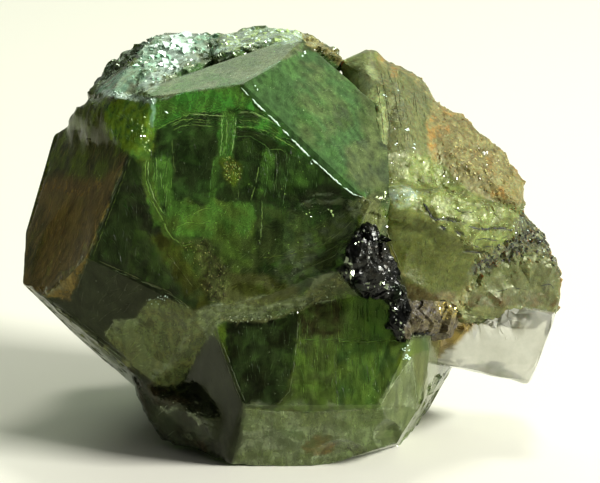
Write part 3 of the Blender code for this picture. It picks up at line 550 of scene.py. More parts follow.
# Fine fibres in the garnet: colour, how many, length in picture steps, lean from upright and
# its spread in degrees, width in mm, outline
GARNET_FIBRES = [
    ("leaf", 60, (5, 18), (0, 9), 0.035, [(300, 318), (398, 300), (402, 340), (381, 404), (280, 405)]),
    ("lime", 34, (4, 12), (0, 10), 0.028, [(300, 342), (400, 342), (381, 404), (290, 405)]),
    ("moss", 40, (5, 18), (0, 9), 0.035, [(298, 318), (342, 300), (340, 404), (286, 404)]),
    ("deep", 50, (5, 20), (0, 9), 0.035, [(298, 318), (398, 300), (402, 340), (381, 404), (280, 405)]),
    ("forest", 44, (4, 16), (0, 14), 0.032, LOWER_WINDOW_LEFT),
    ("fern", 24, (3, 10), (20, 40), 0.028, LOWER_WINDOW_LEFT),
    ("lime", 24, (4, 12), (0, 8), 0.028, COLUMN),
    ("deep", 18, (4, 12), (0, 8), 0.028, COLUMN),
    ("lime", 30, (5, 16), (3, 10), 0.030, [(150, 158), (174, 150), (176, 200), (168, 228), (152, 200)]),
    ("deep", 30, (5, 16), (3, 10), 0.030, [(150, 158), (174, 150), (176, 200), (160, 226), (152, 200)]),
    ("forest", 70, (3, 10), (10, 35), 0.028, [(172, 136), (217, 134), (214, 200), (176, 200)]),
    ("leaf", 18, (3, 8), (10, 60), 0.025, [(172, 150), (217, 150), (214, 200), (176, 200)]),
    ("forest", 50, (4, 12), (0, 16), 0.028, [(236, 140), (270, 146), (262, 200), (238, 200)]),
    ("leaf", 50, (4, 14), (-4, 12), 0.030, WINDOW_RIGHT),
    ("deep", 40, (4, 12), (-4, 16), 0.030, WINDOW_RIGHT),
    ("fern", 60, (3, 12), (80, 40), 0.030, [(264, 204), (350, 192), (356, 214), (300, 236), (256, 236)]),
    ("leaf", 60, (4, 12), (-70, 22), 0.030, [
        (156, 104), (240, 94), (284, 126), (240, 128), (190, 124), (156, 134)]),
    ("pale_lime", 22, (3, 8), (90, 14), 0.030, box(188, 106, 228, 124)),
    ("lime", 22, (3, 10), (-60, 20), 0.028, [(250, 112), (284, 128), (310, 152), (290, 148), (256, 122)]),
    ("grass", 90, (3, 10), (50, 60), 0.030, [(164, 200), (254, 200), (256, 262), (214, 262), (172, 234)]),
    ("lime", 26, (3, 8), (40, 60), 0.026, [(164, 200), (254, 200), (256, 250), (214, 254), (172, 234)]),
    ("khaki", 90, (4, 14), (70, 40), 0.030, WINDOW_FOOT),
    ("umber", 50, (3, 9), (40, 60), 0.030, [(194, 242), (212, 240), (230, 272), (228, 302), (206, 300)]),
    ("moss", 50, (4, 16), (40, 40), 0.030, [(112, 330), (190, 310), (200, 345), (178, 390), (130, 362)]),
    ("fern", 50, (4, 16), (30, 50), 0.030, [(80, 264), (150, 292), (104, 334), (40, 296)]),
    ("fern", 50, (4, 14), (-20, 30), 0.030, LEFT_FACE),
    ("deep", 50, (4, 14), (-20, 30), 0.030, LEFT_FACE),
    ("rind", 70, (6, 24), (16, 7), 0.035, BROWN_FACE),
    ("umber", 70, (6, 24), (16, 7), 0.035, BROWN_FACE),
    ("moss", 40, (4, 14), (16, 20), 0.035, [(62, 122), (124, 112), (124, 160), (70, 180), (48, 170)]),
    ("lime", 34, (4, 12), (-30, 40), 0.060, [(118, 118), (146, 104), (154, 130), (150, 160), (134, 146)]),
    ("leaf", 60, (4, 14), (20, 70), 0.070, KNOB_SIDE),
    ("pale_lime", 16, (3, 8), (-40, 40), 0.045, [
        (126, 118), (150, 112), (154, 134), (148, 158), (136, 146)]),
    ("olive", 30, (4, 12), (0, 70), 0.050, KNOB_SIDE),
    ("deep", 36, (3, 9), (20, 60), 0.035, WINDOW_FOOT),
    ("sage", 60, (4, 14), (45, 50), 0.030, RIGHT_FACE),
    ("fern", 50, (4, 14), (30, 50), 0.030, RIGHT_FACE),
    ("pale_lime", 40, (2, 6), (80, 20), 0.045, [
        (186, 110), (226, 108), (226, 124), (190, 126), (172, 130)]),
    ("pale_lime", 36, (2, 6), (-65, 20), 0.045, [
        (238, 108), (268, 114), (300, 148), (280, 146), (240, 128)]),
    ("vivid", 60, (3, 10), (80, 25), 0.060, [
        (158, 120), (240, 100), (282, 126), (300, 150), (240, 132), (176, 134)]),
    ("deep", 60, (3, 10), (80, 25), 0.050, [
        (166, 124), (240, 110), (282, 130), (300, 150), (240, 132), (176, 134)]),
    ("lime", 20, (3, 8), (40, 60), 0.040, [(164, 204), (254, 202), (256, 250), (214, 254), (172, 234)]),
    ("khaki", 70, (3, 10), (80, 30), 0.045, SHELF_BAND),
    ("umber", 60, (3, 10), (80, 30), 0.045, SHELF_BAND),
    ("mist", 30, (3, 9), (80, 30), 0.035, SHELF_BAND),
    ("umber", 50, (3, 12), (50, 50), 0.045, LOWER_LEFT_FACE),
    ("haze", 24, (3, 9), (50, 50), 0.030, LOWER_LEFT_FACE),
    ("haze", 60, (3, 10), (92, 16), 0.028, BOTTOM_BEVEL),
    ("fern", 60, (3, 12), (92, 16), 0.030, BOTTOM_BEVEL),
    ("sage", 24, (3, 10), (70, 20), 0.028, TOP_BEVEL),
    ("slate", 24, (3, 10), (70, 20), 0.028, TOP_BEVEL),
    ("slate", 40, (3, 12), (60, 50), 0.030, [(134, 400), (200, 396), (232, 420), (224, 458), (160, 446)]),
    ("slate", 16, (4, 14), (-20, 14), 0.030, [
        (209, 346), (219, 344), (240, 404), (232, 430), (212, 400)]),
]

# Conchoidal ribs of the garnet: middle and spacing in picture steps, how they sway, soft edge,
# height in mm, how much they tint, and where they show
RIB_MIDDLE = (299, 190)
RIB_SPACING = 6.8
RIB_SWAY = [(0.5, 0.9, 43)]
RIB_EDGE = (-3.0, 5.0)
RIB_HEIGHT = 0.0025
RIB_TINT = 0.18
RIB_ZONE = [
    (299, 236), (322, 222), (350, 212), (357, 222), (352, 246), (336, 262), (314, 272), (292, 284),
    (270, 286), (276, 262),
]

# How rough the garnet is where it is broken: share of the full relief, soft edge, outline
GARNET_RELIEF = [
    (0.16, 10, [(40, 110), (84, 86), (156, 98), (160, 166), (120, 180), (50, 180)]),
    (0.30, 8, [(92, 96), (100, 74), (140, 60), (150, 92), (120, 100)]),
    (0.60, 6, [(138, 66), (150, 38), (166, 22), (214, 28), (222, 50), (168, 76), (150, 92)]),
    (0.45, 6, [(216, 50), (224, 28), (300, 26), (306, 44), (250, 48)]),
    (0.40, 10, [(110, 362), (236, 400), (236, 475), (120, 470)]),
    (0.10, 8, box(240, 404, 445, 480)),
    (0.12, 8, [(250, 200), (400, 190), (400, 300), (250, 310)]),
    (0.25, 8, box(60, 180, 240, 350)),
]

# Crystal faces that are broken at the rim, in the same form
GARNET_RIMS = [
    (0.36, 5, [
        (398, 446), (414, 420), (424, 384), (450, 370), (450, 420), (404, 480), (300, 484),
        (300, 469), (345, 464)]),
    (0.35, 4, [
        (10, 290), (12, 230), (30, 180), (48, 124), (60, 104), (66, 114), (53, 150), (36, 205),
        (24, 240), (22, 288)]),
    (0.22, 4, [(14, 288), (30, 287), (78, 320), (132, 362), (126, 376), (70, 346), (14, 306)]),
    (0.30, 4, [(368, 190), (394, 184), (396, 240), (366, 240), (358, 214)]),
]

# Garnet that mirrors little: whole faces within an angle of these directions, given as its
# cosine, and the broken stub and knob
DULL_FACES = [((-0.62, -0.62, -0.48), 0.84), ((0.14, -0.88, -0.46), 0.99)]
DULL_PARTS = [
    [
        (112, 360), (158, 388), (196, 378), (214, 396), (243, 408), (238, 440), (228, 474),
        (190, 476), (150, 458), (116, 410)],
    [(40, 108), (60, 96), (84, 86), (152, 98), (154, 160), (126, 164), (90, 196), (40, 190)],
]

# Parts that are softened: passes, soft edge in picture steps, outline
GARNET_MELTS = [
    (28, 10, [
        (72, 108), (86, 90), (104, 86), (130, 92), (150, 98), (154, 130), (152, 160), (126, 172),
        (90, 196), (66, 188), (62, 140)]),
    (36, 10, [
        (116, 366), (158, 388), (196, 378), (214, 396), (240, 410), (236, 474), (190, 474),
        (150, 456), (122, 410)]),
    (36, 8, [(186, 350), (210, 334), (224, 350), (240, 404), (214, 404), (186, 394)]),
    (16, 8, [(92, 92), (104, 70), (142, 58), (150, 90), (120, 98)]),
]
MATRIX_MELTS = [
    (70, 12, [
        (370, 204), (384, 150), (410, 144), (446, 164), (504, 202), (540, 212), (522, 250),
        (484, 262), (474, 290), (440, 304), (400, 290), (378, 240)]),
    (60, 8, [(414, 80), (440, 84), (450, 110), (448, 156), (424, 160), (414, 120)]),
    (30, 10, [(338, 44), (396, 44), (434, 84), (436, 130), (424, 170), (372, 180), (360, 100)]),
]

# Zones and lines of the matrix, in the same form
MATRIX_ZONES = [
    ("reed", "stone", (0.40, 2.5), 0.45, 5, 0.95, [
        (345, 66), (396, 60), (430, 84), (436, 120), (424, 168), (400, 176), (378, 180), (370, 90)]),
    ("stone", "smoke", (0.40, 2.5), 0.45, 6, 0.90, [
        (392, 78), (412, 70), (432, 96), (428, 118), (402, 122)]),
    ("pistachio", "stone", (0.25, 1.0), 0.40, 4, 0.90, [
        (345, 52), (356, 40), (384, 44), (384, 62), (352, 66)]),
    ("cocoa", "graphite", (0.20, 1.0), 0.50, 4, 0.75, [(350, 62), (364, 60), (370, 72), (356, 76)]),
    # Painted light: the shaded side of the slab next to the garnet is painted pale to stand in for light
    ("glow", "glow", (0.30, 1.0), 0.45, 8, 0.95, [
        (336, 50), (352, 50), (376, 70), (386, 104), (384, 150), (370, 150), (362, 100), (345, 72)]),
    ("smoke", "tan", (0.30, 1.0), 0.45, 5, 0.90, [
        (378, 48), (402, 56), (436, 90), (430, 96), (404, 72), (380, 64)]),
    ("tan", "cocoa", (0.26, 1.0), 0.50, 5, 0.97, [
        (432, 92), (458, 106), (522, 156), (530, 200), (506, 206), (470, 194), (446, 168), (436, 160),
        (428, 120)]),
    ("cocoa", "tan", (0.16, 1.0), 0.60, 6, 0.80, [
        (452, 168), (470, 172), (494, 178), (500, 194), (484, 196), (462, 188)]),
    ("tan", "ochre", (0.30, 1.0), 0.40, 6, 0.80, [(502, 176), (520, 172), (528, 194), (510, 196)]),
    ("orange", "tan", (0.18, 2.0), 0.50, 3, 0.90, [
        (426, 117), (436, 116), (438, 140), (436, 160), (429, 158)]),
    ("orange", "cocoa", (0.18, 1.0), 0.50, 3, 0.80, [(437, 125), (450, 126), (449, 136), (439, 137)]),
    ("orange", "tan", (0.18, 1.0), 0.50, 3, 0.75, [(442, 103), (453, 103), (454, 115), (443, 115)]),
    ("orange", "tan", (0.18, 1.0), 0.50, 4, 0.75, [(490, 187), (506, 186), (506, 199), (492, 200)]),
    ("orange", "cocoa", (0.15, 1.0), 0.50, 3, 0.60, [(487, 152), (493, 152), (495, 178), (489, 178)]),
    ("orange", "tan", (0.15, 1.0), 0.50, 2, 0.80, [(377, 53), (385, 54), (385, 61), (378, 61)]),
    ("orange", "tan", (0.15, 1.0), 0.50, 2, 0.80, [(390, 65), (400, 66), (400, 76), (391, 75)]),
    ("pistachio", "hollow", (0.35, 1.0), 0.35, 7, 0.95, [
        (380, 176), (390, 160), (408, 150), (424, 156), (446, 168), (470, 192), (504, 206),
        (536, 208), (540, 222), (512, 244), (484, 250), (462, 240), (436, 226), (400, 212), (382, 206)]),
    ("reed", "moss_glow", (0.20, 1.0), 0.40, 5, 0.75, [
        (384, 154), (398, 142), (412, 150), (404, 168), (388, 174)]),
    # Painted highlight on the smooth dome of the bulge
    ("glow", "frost", (0.30, 1.0), 0.12, 9, 0.85, [
        (391, 190), (408, 184), (418, 192), (416, 206), (398, 208)]),
    ("hollow", "moss_glow", (0.45, 0.8), 0.25, 14, 0.97, [
        (372, 206), (384, 206), (404, 212), (434, 224), (460, 240), (478, 252), (470, 276),
        (458, 296), (430, 300), (408, 290), (392, 262), (380, 232)]),
    ("pistachio", "hollow", (0.35, 1.0), 0.25, 14, 0.65, [
        (380, 206), (410, 214), (440, 234), (434, 250), (404, 242), (384, 228)]),
    ("moss_glow", "olive", (0.40, 0.6), 0.15, 6, 0.35, [
        (404, 222), (430, 224), (440, 234), (420, 240), (404, 236)]),
    ("pistachio", "hollow", (0.40, 0.8), 0.20, 5, 0.60, [(386, 206), (404, 208), (410, 222), (392, 228)]),
    ("graphite", "smoke", (0.14, 0.7), 0.45, 4, 0.90, [
        (468, 272), (486, 256), (512, 240), (538, 236), (546, 250), (516, 256), (494, 268), (478, 276)]),
    ("soot", "smoke", (0.14, 1.0), 0.35, 4, 0.95, [
        (520, 210), (536, 214), (552, 226), (564, 252), (564, 276), (554, 272), (544, 256),
        (528, 246), (512, 240), (516, 226)]),
    ("khaki", "reed", (0.40, 1.0), 0.35, 9, 0.90, [
        (476, 276), (496, 266), (528, 256), (536, 268), (534, 290), (500, 294), (468, 298)]),
    ("reed", "khaki", (0.35, 1.0), 0.35, 6, 0.90, [
        (532, 264), (548, 260), (564, 276), (562, 296), (546, 300), (534, 292)]),
    ("graphite", "smoke", (0.20, 1.0), 0.30, 3, 0.70, [(540, 284), (552, 282), (554, 292), (542, 292)]),
    ("khaki", "rust", (0.30, 0.6), 0.40, 5, 0.90, [
        (466, 296), (500, 292), (552, 294), (560, 304), (540, 310), (470, 308)]),
    ("smoke", "stone", (0.40, 1.0), 0.20, 4, 0.80, [(470, 306), (556, 306), (562, 322), (470, 322)]),
    ("cocoa", "rust", (0.14, 1.0), 0.50, 4, 0.85, [
        (404, 282), (430, 292), (456, 292), (452, 304), (410, 302)]),
]

# Dark cracks and fine furrows of the matrix: colour, width in mm, places across and down
MATRIX_CRACKS = [
    ("soot", 0.13, [(423, 203), (428, 210), (431, 217), (436, 220), (443, 219), (450, 221), (457, 222)]),
    ("soot", 0.18, [(440, 226), (444, 229), (446, 228)]),
    ("soot", 0.16, [(456, 231), (461, 235)]),
    ("soot", 0.11, [(468, 226), (478, 229), (490, 229), (503, 228), (512, 231)]),
    ("soot", 0.06, [(476, 240), (484, 238), (496, 241), (508, 236)]),
    ("soot", 0.09, [(464, 251), (476, 252), (488, 255)]),
    ("soot", 0.05, [(470, 244), (480, 248), (490, 246), (500, 248)]),
    ("soot", 0.05, [(452, 208), (462, 212), (474, 212)]),
    ("soot", 0.05, [(416, 178), (424, 184), (428, 194)]),
    ("olive", 0.06, [(391, 78), (395, 96), (398, 112), (402, 128)]),
    ("olive", 0.05, [(381, 72), (385, 92), (388, 112), (390, 134)]),
    ("olive", 0.05, [(410, 70), (414, 92), (418, 118)]),
    ("smoke", 0.05, [(400, 78), (404, 98), (408, 122), (410, 146)]),
    ("smoke", 0.05, [(377, 84), (381, 108), (384, 136)]),
    ("olive", 0.06, HOLLOW_EDGE),
    ("khaki", 0.05, [(386, 214), (387, 232), (394, 252), (402, 270)]),
    ("soot", 0.05, [(496, 292), (512, 288), (528, 290)]),
    ("soot", 0.05, [(540, 286), (550, 284), (556, 290)]),
]

# Fibres and lines of the matrix, in the same form as the garnet's
MATRIX_FIBRES = [
    ("smoke", 40, (4, 14), (-8, 10), 0.045, SLAB_SIDE),
    ("olive", 50, (4, 14), (-8, 10), 0.045, SLAB_SIDE),
    ("glow", 60, (2, 6), (70, 40), 0.045, [(440, 172), (500, 208), (536, 214), (510, 244), (462, 236)]),
    ("reed", 60, (2, 7), (60, 50), 0.050, [(396, 160), (440, 172), (500, 208), (510, 240), (430, 220)]),
    ("soot", 50, (2, 6), (70, 40), 0.065, [(450, 200), (500, 212), (512, 244), (470, 250), (440, 224)]),
    ("soot", 60, (2, 7), (60, 30), 0.060, [(480, 262), (512, 238), (546, 236), (556, 262), (520, 262)]),
    ("olive", 50, (3, 9), (20, 50), 0.045, [(390, 214), (434, 226), (470, 256), (440, 296), (404, 280)]),
    ("cocoa", 50, (2, 7), (20, 60), 0.060, BROWN_SLAB),
    ("reed", 60, (2, 7), (20, 60), 0.060, BROWN_SLAB),
]
MATRIX_LINES = [
    ("soot", 0.4, 2.0, 0.97, [(424, 205), (430, 214), (435, 220), (443, 219), (457, 221)]),
    ("soot", 0.4, 1.8, 0.97, [(470, 227), (489, 229), (503, 228), (512, 230)]),
    ("soot", 0.4, 4.0, 0.97, [(441, 227), (445, 228)]),
    ("soot", 0.4, 3.2, 0.97, [(457, 232), (461, 234)]),
    ("soot", 0.4, 1.6, 0.90, [(464, 251), (476, 252), (487, 254)]),
    ("olive", 0.4, 2.5, 0.80, HOLLOW_EDGE),
    ("olive", 0.3, 2.0, 0.70, [(391, 78), (397, 109), (402, 127)]),
    ("haze", 0.3, 2.0, 0.50, [(396, 84), (402, 104), (406, 126), (410, 146)]),
    ("haze", 0.3, 2.0, 0.50, [(384, 92), (388, 116), (390, 140)]),
    ("ochre", 0.4, 1.8, 0.80, [(388, 246), (398, 264), (408, 286)]),
]

# The dark lines are cracks that are also cut into the surface
CRACKS = [line for colour, *_, line in MATRIX_LINES if colour == "soot"]

# How strongly the matrix is broken up: share of the full relief, soft edge, outline
MATRIX_RELIEF = [
    (0.45, 12, [(420, 84), (460, 96), (540, 160), (540, 206), (440, 190)]),
    (0.14, 14, [(335, 40), (396, 48), (434, 84), (436, 130), (424, 170), (400, 176), (360, 180)]),
    (0.30, 8, [(376, 176), (408, 148), (446, 168), (504, 206), (540, 222), (484, 250), (380, 212)]),
    (0.06, 8, [
        (362, 206), (404, 212), (460, 240), (478, 252), (470, 276), (458, 300), (420, 304), (380, 290)]),
    (0.30, 8, [(468, 298), (496, 266), (560, 262), (566, 322), (470, 322)]),
]

# Smooth domes of the matrix: middle and reach in picture steps, and height in mm
MATRIX_DOMES = [(404, 196, 17, 0.30), (472, 222, 26, 0.16)]

# Zones of the seam: rust lump with a painted golden highlight, brown middle, a tab painted pale as a
# glint, black ends, foot
SEAM_ZONES = [
    ("rust", "cocoa", (0.12, 1.0), 0.70, 4, 0.95, RUST_LUMP),
    ("gold", "ochre", (0.10, 1.0), 0.60, 4, 0.85, [
        (434, 294), (456, 294), (460, 314), (446, 320), (436, 308)]),
    ("umber", "graphite", (0.12, 1.0), 0.50, 6, 0.70, [
        (357, 244), (386, 242), (392, 268), (376, 278), (358, 268)]),
    ("haze", "graphite", (0.20, 1.0), 0.10, 3, 0.80, [(337, 262), (352, 258), (354, 276), (340, 280)]),
    ("soot", "deep", (0.20, 1.0), 0.15, 3, 0.95, [(342, 279), (360, 278), (364, 296), (348, 298)]),
    ("soot", "deep", (0.20, 1.0), 0.15, 3, 0.95, [(388, 270), (408, 276), (412, 296), (396, 304)]),
    ("graphite", "haze", (0.12, 1.0), 0.20, 3, 0.85, [(412, 334), (428, 334), (430, 350), (412, 350)]),
]

# Zones of the quartz chip: honey seam and haze
QUARTZ_ZONES = [
    ("honey", "rind", (0.50, 1.0), 0.10, 3, 0.97, [
        (430, 360), (436, 340), (452, 326), (460, 300), (478, 300), (477, 312), (473, 326),
        (464, 339), (448, 350), (438, 358)]),
    ("haze", "milk", (0.50, 1.0), 0.10, 6, 0.50, [
        (478, 362), (500, 366), (524, 378), (520, 390), (470, 372)]),
]

# Small shards: colour, how many, size in mm, turn towards the light, outline. The pale shards on
# the ridge, knob, stub and faces are painted glints: pale colour on shards turned to mirror the lamps.
GARNET_FLAKES = [
    ("frost", 20, (0.32, 0.80), 1.0, [(164, 38), (184, 34), (196, 40), (186, 52), (168, 50)]),
    ("frost", 8, (0.28, 0.60), 1.0, [(162, 63), (177, 61), (177, 74), (164, 75)]),
    ("frost", 6, (0.24, 0.50), 1.0, [(151, 46), (164, 45), (163, 58), (152, 59)]),
    ("frost", 12, (0.08, 0.20), 0.8, [
        (140, 62), (148, 40), (166, 26), (206, 30), (216, 48), (170, 72), (150, 90)]),
    ("mint", 22, (0.12, 0.36), 0.6, [
        (120, 70), (148, 40), (166, 26), (206, 30), (216, 48), (170, 72), (150, 90)]),
    ("frost", 34, (0.05, 0.14), 0.8, [(100, 90), (120, 92), (156, 99), (156, 104), (120, 98)]),
    ("frost", 26, (0.08, 0.24), 0.9, RIDGE_RIGHT),
    ("pale_lime", 26, (0.10, 0.30), 0.6, RIDGE_RIGHT),
    ("pale_lime", 18, (0.06, 0.16), 0.9, [(122, 112), (152, 118), (152, 158), (136, 150)]),
    ("pale_lime", 46, (0.025, 0.05), 0.6, GOLDEN_LENS),
    ("gold", 40, (0.025, 0.05), 0.5, GOLDEN_LENS),
    ("deep", 30, (0.03, 0.06), 0.3, GOLDEN_LENS),
    ("khaki", 60, (0.04, 0.09), 0.4, [(206, 268), (222, 262), (229, 284), (224, 302), (210, 302)]),
    ("umber", 60, (0.04, 0.10), 0.3, [(200, 250), (216, 256), (229, 284), (224, 302), (208, 300)]),
    ("tan", 34, (0.03, 0.06), 0.6, [(176, 234), (206, 238), (226, 290), (206, 296)]),
    ("frost", 2, (0.10, 0.14), 1.0, box(165, 110, 169, 114)),
    ("frost", 2, (0.10, 0.13), 1.0, box(254, 86, 258, 90)),
    ("frost", 3, (0.12, 0.18), 1.0, box(301, 51, 306, 56)),
    ("frost", 5, (0.04, 0.10), 1.0, [(306, 158), (318, 160), (318, 166), (308, 164)]),
    ("pale_lime", 5, (0.06, 0.13), 0.8, box(328, 209, 334, 219)),
    ("pale_lime", 4, (0.04, 0.08), 0.8, box(306, 212, 312, 219)),
    ("frost", 14, (0.04, 0.08), 0.8, [(148, 296), (168, 296), (168, 304), (150, 304)]),
    ("haze", 24, (0.04, 0.10), 0.7, [(296, 306), (344, 270), (352, 276), (326, 300), (300, 314)]),
    ("haze", 40, (0.04, 0.10), 0.6, [
        (222, 316), (264, 316), (300, 308), (298, 314), (264, 322), (224, 322)]),
    ("smoke", 30, (0.04, 0.10), 0.5, [(358, 196), (384, 200), (384, 232), (362, 226)]),
    ("khaki", 60, (0.04, 0.12), 0.3, [(358, 196), (388, 200), (388, 240), (362, 226)]),
    ("frost", 10, (0.05, 0.14), 1.0, [(398, 350), (410, 344), (412, 358), (402, 362)]),
    ("frost", 4, (0.12, 0.18), 1.0, box(404, 355, 409, 359)),
    # Painted highlights: pale shards on the dark stub
    ("haze", 10, (0.04, 0.10), 0.4, [(158, 402), (178, 402), (176, 414), (160, 414)]),
    ("haze", 8, (0.04, 0.10), 0.4, [(188, 410), (200, 412), (200, 426), (190, 422)]),
    ("lime", 30, (0.03, 0.06), 0.6, [(150, 160), (300, 160), (340, 240), (250, 270), (170, 230)]),
]
# Pale shards of the matrix are painted glints: pale colour on shards turned to mirror the lamps
MATRIX_FLAKES = [
    ("frost", 16, (0.04, 0.10), 0.9, [(392, 188), (408, 183), (418, 192), (416, 206), (398, 207)]),
    ("glow", 70, (0.03, 0.08), 0.8, BULGE_LEFT),
    ("reed", 60, (0.04, 0.10), 0.3, BULGE_LEFT),
    ("glow", 90, (0.03, 0.09), 0.8, BULGE_RIGHT),
    ("reed", 60, (0.04, 0.10), 0.3, BULGE_RIGHT),
    ("frost", 26, (0.03, 0.09), 0.7, [
        (506, 226), (522, 212), (548, 226), (562, 256), (560, 272), (530, 250)]),
    ("soot", 110, (0.05, 0.20), 0.2, [
        (470, 262), (512, 236), (548, 226), (562, 256), (560, 272), (530, 254), (484, 270)]),
    ("frost", 2, (0.10, 0.14), 1.0, box(382, 94, 386, 98)),
    ("frost", 2, (0.08, 0.12), 1.0, box(395, 87, 399, 91)),
    ("frost", 3, (0.10, 0.16), 1.0, box(405, 128, 409, 134)),
    ("frost", 3, (0.10, 0.15), 1.0, box(411, 144, 415, 150)),
    ("frost", 2, (0.08, 0.12), 1.0, box(394, 142, 398, 146)),
    ("milk", 4, (0.12, 0.20), 0.6, box(482, 150, 488, 155)),
    ("smoke", 40, (0.05, 0.14), 0.3, [(386, 84), (404, 84), (414, 150), (396, 150)]),
    ("tan", 70, (0.06, 0.18), 0.2, [(440, 130), (516, 162), (510, 196), (456, 180)]),
    ("cocoa", 70, (0.06, 0.18), 0.2, BROWN_SLAB),
]
# Pale and golden shards of the seam are painted glints: pale colour on metal shards turned to mirror the
# lamps
SEAM_FLAKES = [
    ("haze", 9, (0.12, 0.36), 0.9, [(338, 262), (352, 258), (354, 276), (342, 280)]),
    ("haze", 7, (0.06, 0.16), 0.9, [(359, 228), (370, 226), (368, 240), (356, 250), (348, 260)]),
    ("haze", 8, (0.10, 0.28), 0.9, [(366, 279), (387, 278), (388, 289), (368, 289)]),
    ("haze", 22, (0.06, 0.18), 0.9, [(390, 303), (396, 303), (406, 330), (408, 346), (400, 344)]),
    ("gold", 60, (0.05, 0.14), 0.7, [(434, 294), (456, 294), (458, 316), (442, 320)]),
    ("cocoa", 40, (0.04, 0.10), 0.3, [(412, 300), (440, 300), (450, 334), (416, 336)]),
    ("haze", 20, (0.06, 0.20), 0.8, [(413, 335), (427, 335), (427, 348), (414, 348)]),
    ("graphite", 50, (0.05, 0.14), 0.6, [(356, 232), (384, 234), (400, 276), (360, 276)]),
]

# Dust on the crystal faces, in the same form
DUST = [
    ("haze", 70, (0.025, 0.055), 0.0, [(160, 96), (192, 66), (290, 46), (236, 84)]),
    ("haze", 90, (0.025, 0.045), 0.0, [(150, 110), (240, 90), (350, 200), (290, 290), (180, 260)]),
    ("haze", 60, (0.025, 0.045), 0.0, [(260, 80), (340, 62), (384, 120), (356, 180)]),
    ("haze", 60, (0.025, 0.045), 0.0, [(90, 262), (190, 310), (204, 340), (176, 386), (110, 336)]),
    ("haze", 70, (0.025, 0.045), 0.0, [(230, 322), (390, 300), (380, 404), (244, 404)]),
    ("haze", 60, (0.025, 0.045), 0.0, [(246, 412), (390, 412), (340, 458), (236, 462)]),
    ("haze", 40, (0.025, 0.045), 0.0, [(44, 180), (110, 170), (76, 280), (30, 270)]),
]

# The bright edge right of the upper window, a painted highlight laid as broken strips: colour, width in
# mm, places
EDGE_HIGHLIGHTS = [
    ("frost", 0.085, [(252, 99), (264, 111), (276, 122), (288, 135), (300, 147), (312, 159), (323, 169)]),
    ("frost", 0.075, [(322, 168), (334, 179), (345, 188), (353, 194), (363, 197)]),
    ("frost", 0.050, [(241, 87), (245, 92), (249, 96)]),
]


def spot_ray(across, down):
    """The line of sight through a spot of the picture."""
    sideways = RIGHT * ((across - PICTURE_MIDDLE[0]) * PICTURE_STEP)
    upward = UP * ((PICTURE_MIDDLE[1] - down) * PICTURE_STEP)
    return (VIEW_AIM + sideways + upward - EYE).normalized()


def picture_spots(places):
    """Across and down in the picture for an array of places."""
    rel = places - np.array(EYE)
    depth = rel @ np.array(AWAY)
    scale = VIEW_DISTANCE / depth / PICTURE_STEP
    across = PICTURE_MIDDLE[0] + (rel @ np.array(RIGHT)) * scale
    down = PICTURE_MIDDLE[1] - (rel @ np.array(UP)) * scale
    return across, down


def unit(rows):
    """Rows scaled to length one."""
    return rows / np.maximum(np.linalg.norm(rows, axis=1, keepdims=True), 1e-12)


def face_crosses(places, faces):
    """Cross products of two sides of each triangle."""
    a, b, c = places[faces[:, 0]], places[faces[:, 1]], places[faces[:, 2]]
    return np.cross(b - a, c - a)


def face_normals(places, faces):
    """Unit normals and areas of triangles."""
    cross = face_crosses(places, faces)
    return unit(cross), np.linalg.norm(cross, axis=1) / 2.0


def vertex_normals(places, faces):
    """Area-weighted unit normals of vertices."""
    cross = face_crosses(places, faces)
    total = np.zeros_like(places)
    for corner in range(3):
        np.add.at(total, faces[:, corner], cross)
    return unit(total)


def edge_table(faces):
    """Unique edges, and each face's three edge numbers."""
    pairs = np.stack([faces[:, [0, 1]], faces[:, [1, 2]], faces[:, [2, 0]]], axis=1)
    pairs = np.sort(pairs.reshape(-1, 2), axis=1)
    edges, back = np.unique(pairs, axis=0, return_inverse=True)
    return edges, back.reshape(-1, 3)


def node_mesh(name):
    """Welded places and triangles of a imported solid."""
    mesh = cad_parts[name].data
    mesh.calc_loop_triangles()
    places = np.zeros(len(mesh.vertices) * 3)
    mesh.vertices.foreach_get("co", places)
    faces = np.zeros(len(mesh.loop_triangles) * 3, dtype=np.int64)
    mesh.loop_triangles.foreach_get("vertices", faces)
    places, faces = places.reshape(-1, 3), faces.reshape(-1, 3)
    _, first, back = np.unique(
        np.round(places / WELD).astype(np.int64), axis=0, return_index=True, return_inverse=True
    )
    places, faces = places[first], back.ravel()[faces]
    whole = (faces[:, 0] != faces[:, 1]) & (faces[:, 1] != faces[:, 2]) & (faces[:, 2] != faces[:, 0])
    return places, faces[whole]


def surface_kinds(places, faces):
    """0 for flat crystal faces, 1 for broken stone, 2 for shell-shaped dishes."""
    normals, areas = face_normals(places, faces)
    edges, face_edges = edge_table(faces)
    sides = [[] for _ in range(len(edges))]
    for face, row in enumerate(face_edges):
        for edge in row:
            sides[edge].append(face)
    group = np.full(len(faces), -1)
    widest = np.zeros(len(faces))
    neighbours = [[] for _ in range(len(faces))]
    for pair in sides:
        if len(pair) == 2:
            one, two = pair
            bend = math.acos(max(-1.0, min(1.0, float(normals[one] @ normals[two]))))
            neighbours[one].append((two, bend))
            neighbours[two].append((one, bend))
            widest[one] = max(widest[one], bend)
            widest[two] = max(widest[two], bend)
    kinds = np.where(widest < SHELL_ANGLE, 2, 1)
    for start in range(len(faces)):
        if group[start] >= 0:
            continue
        group[start] = start
        members, front = [start], [start]
        while front:
            for other, bend in neighbours[front.pop()]:
                if group[other] < 0 and bend < FLAT_ANGLE:
                    group[other] = start
                    members.append(other)
                    front.append(other)
        if areas[members].sum() > FLAT_AREA:
            kinds[members] = 0
    return kinds


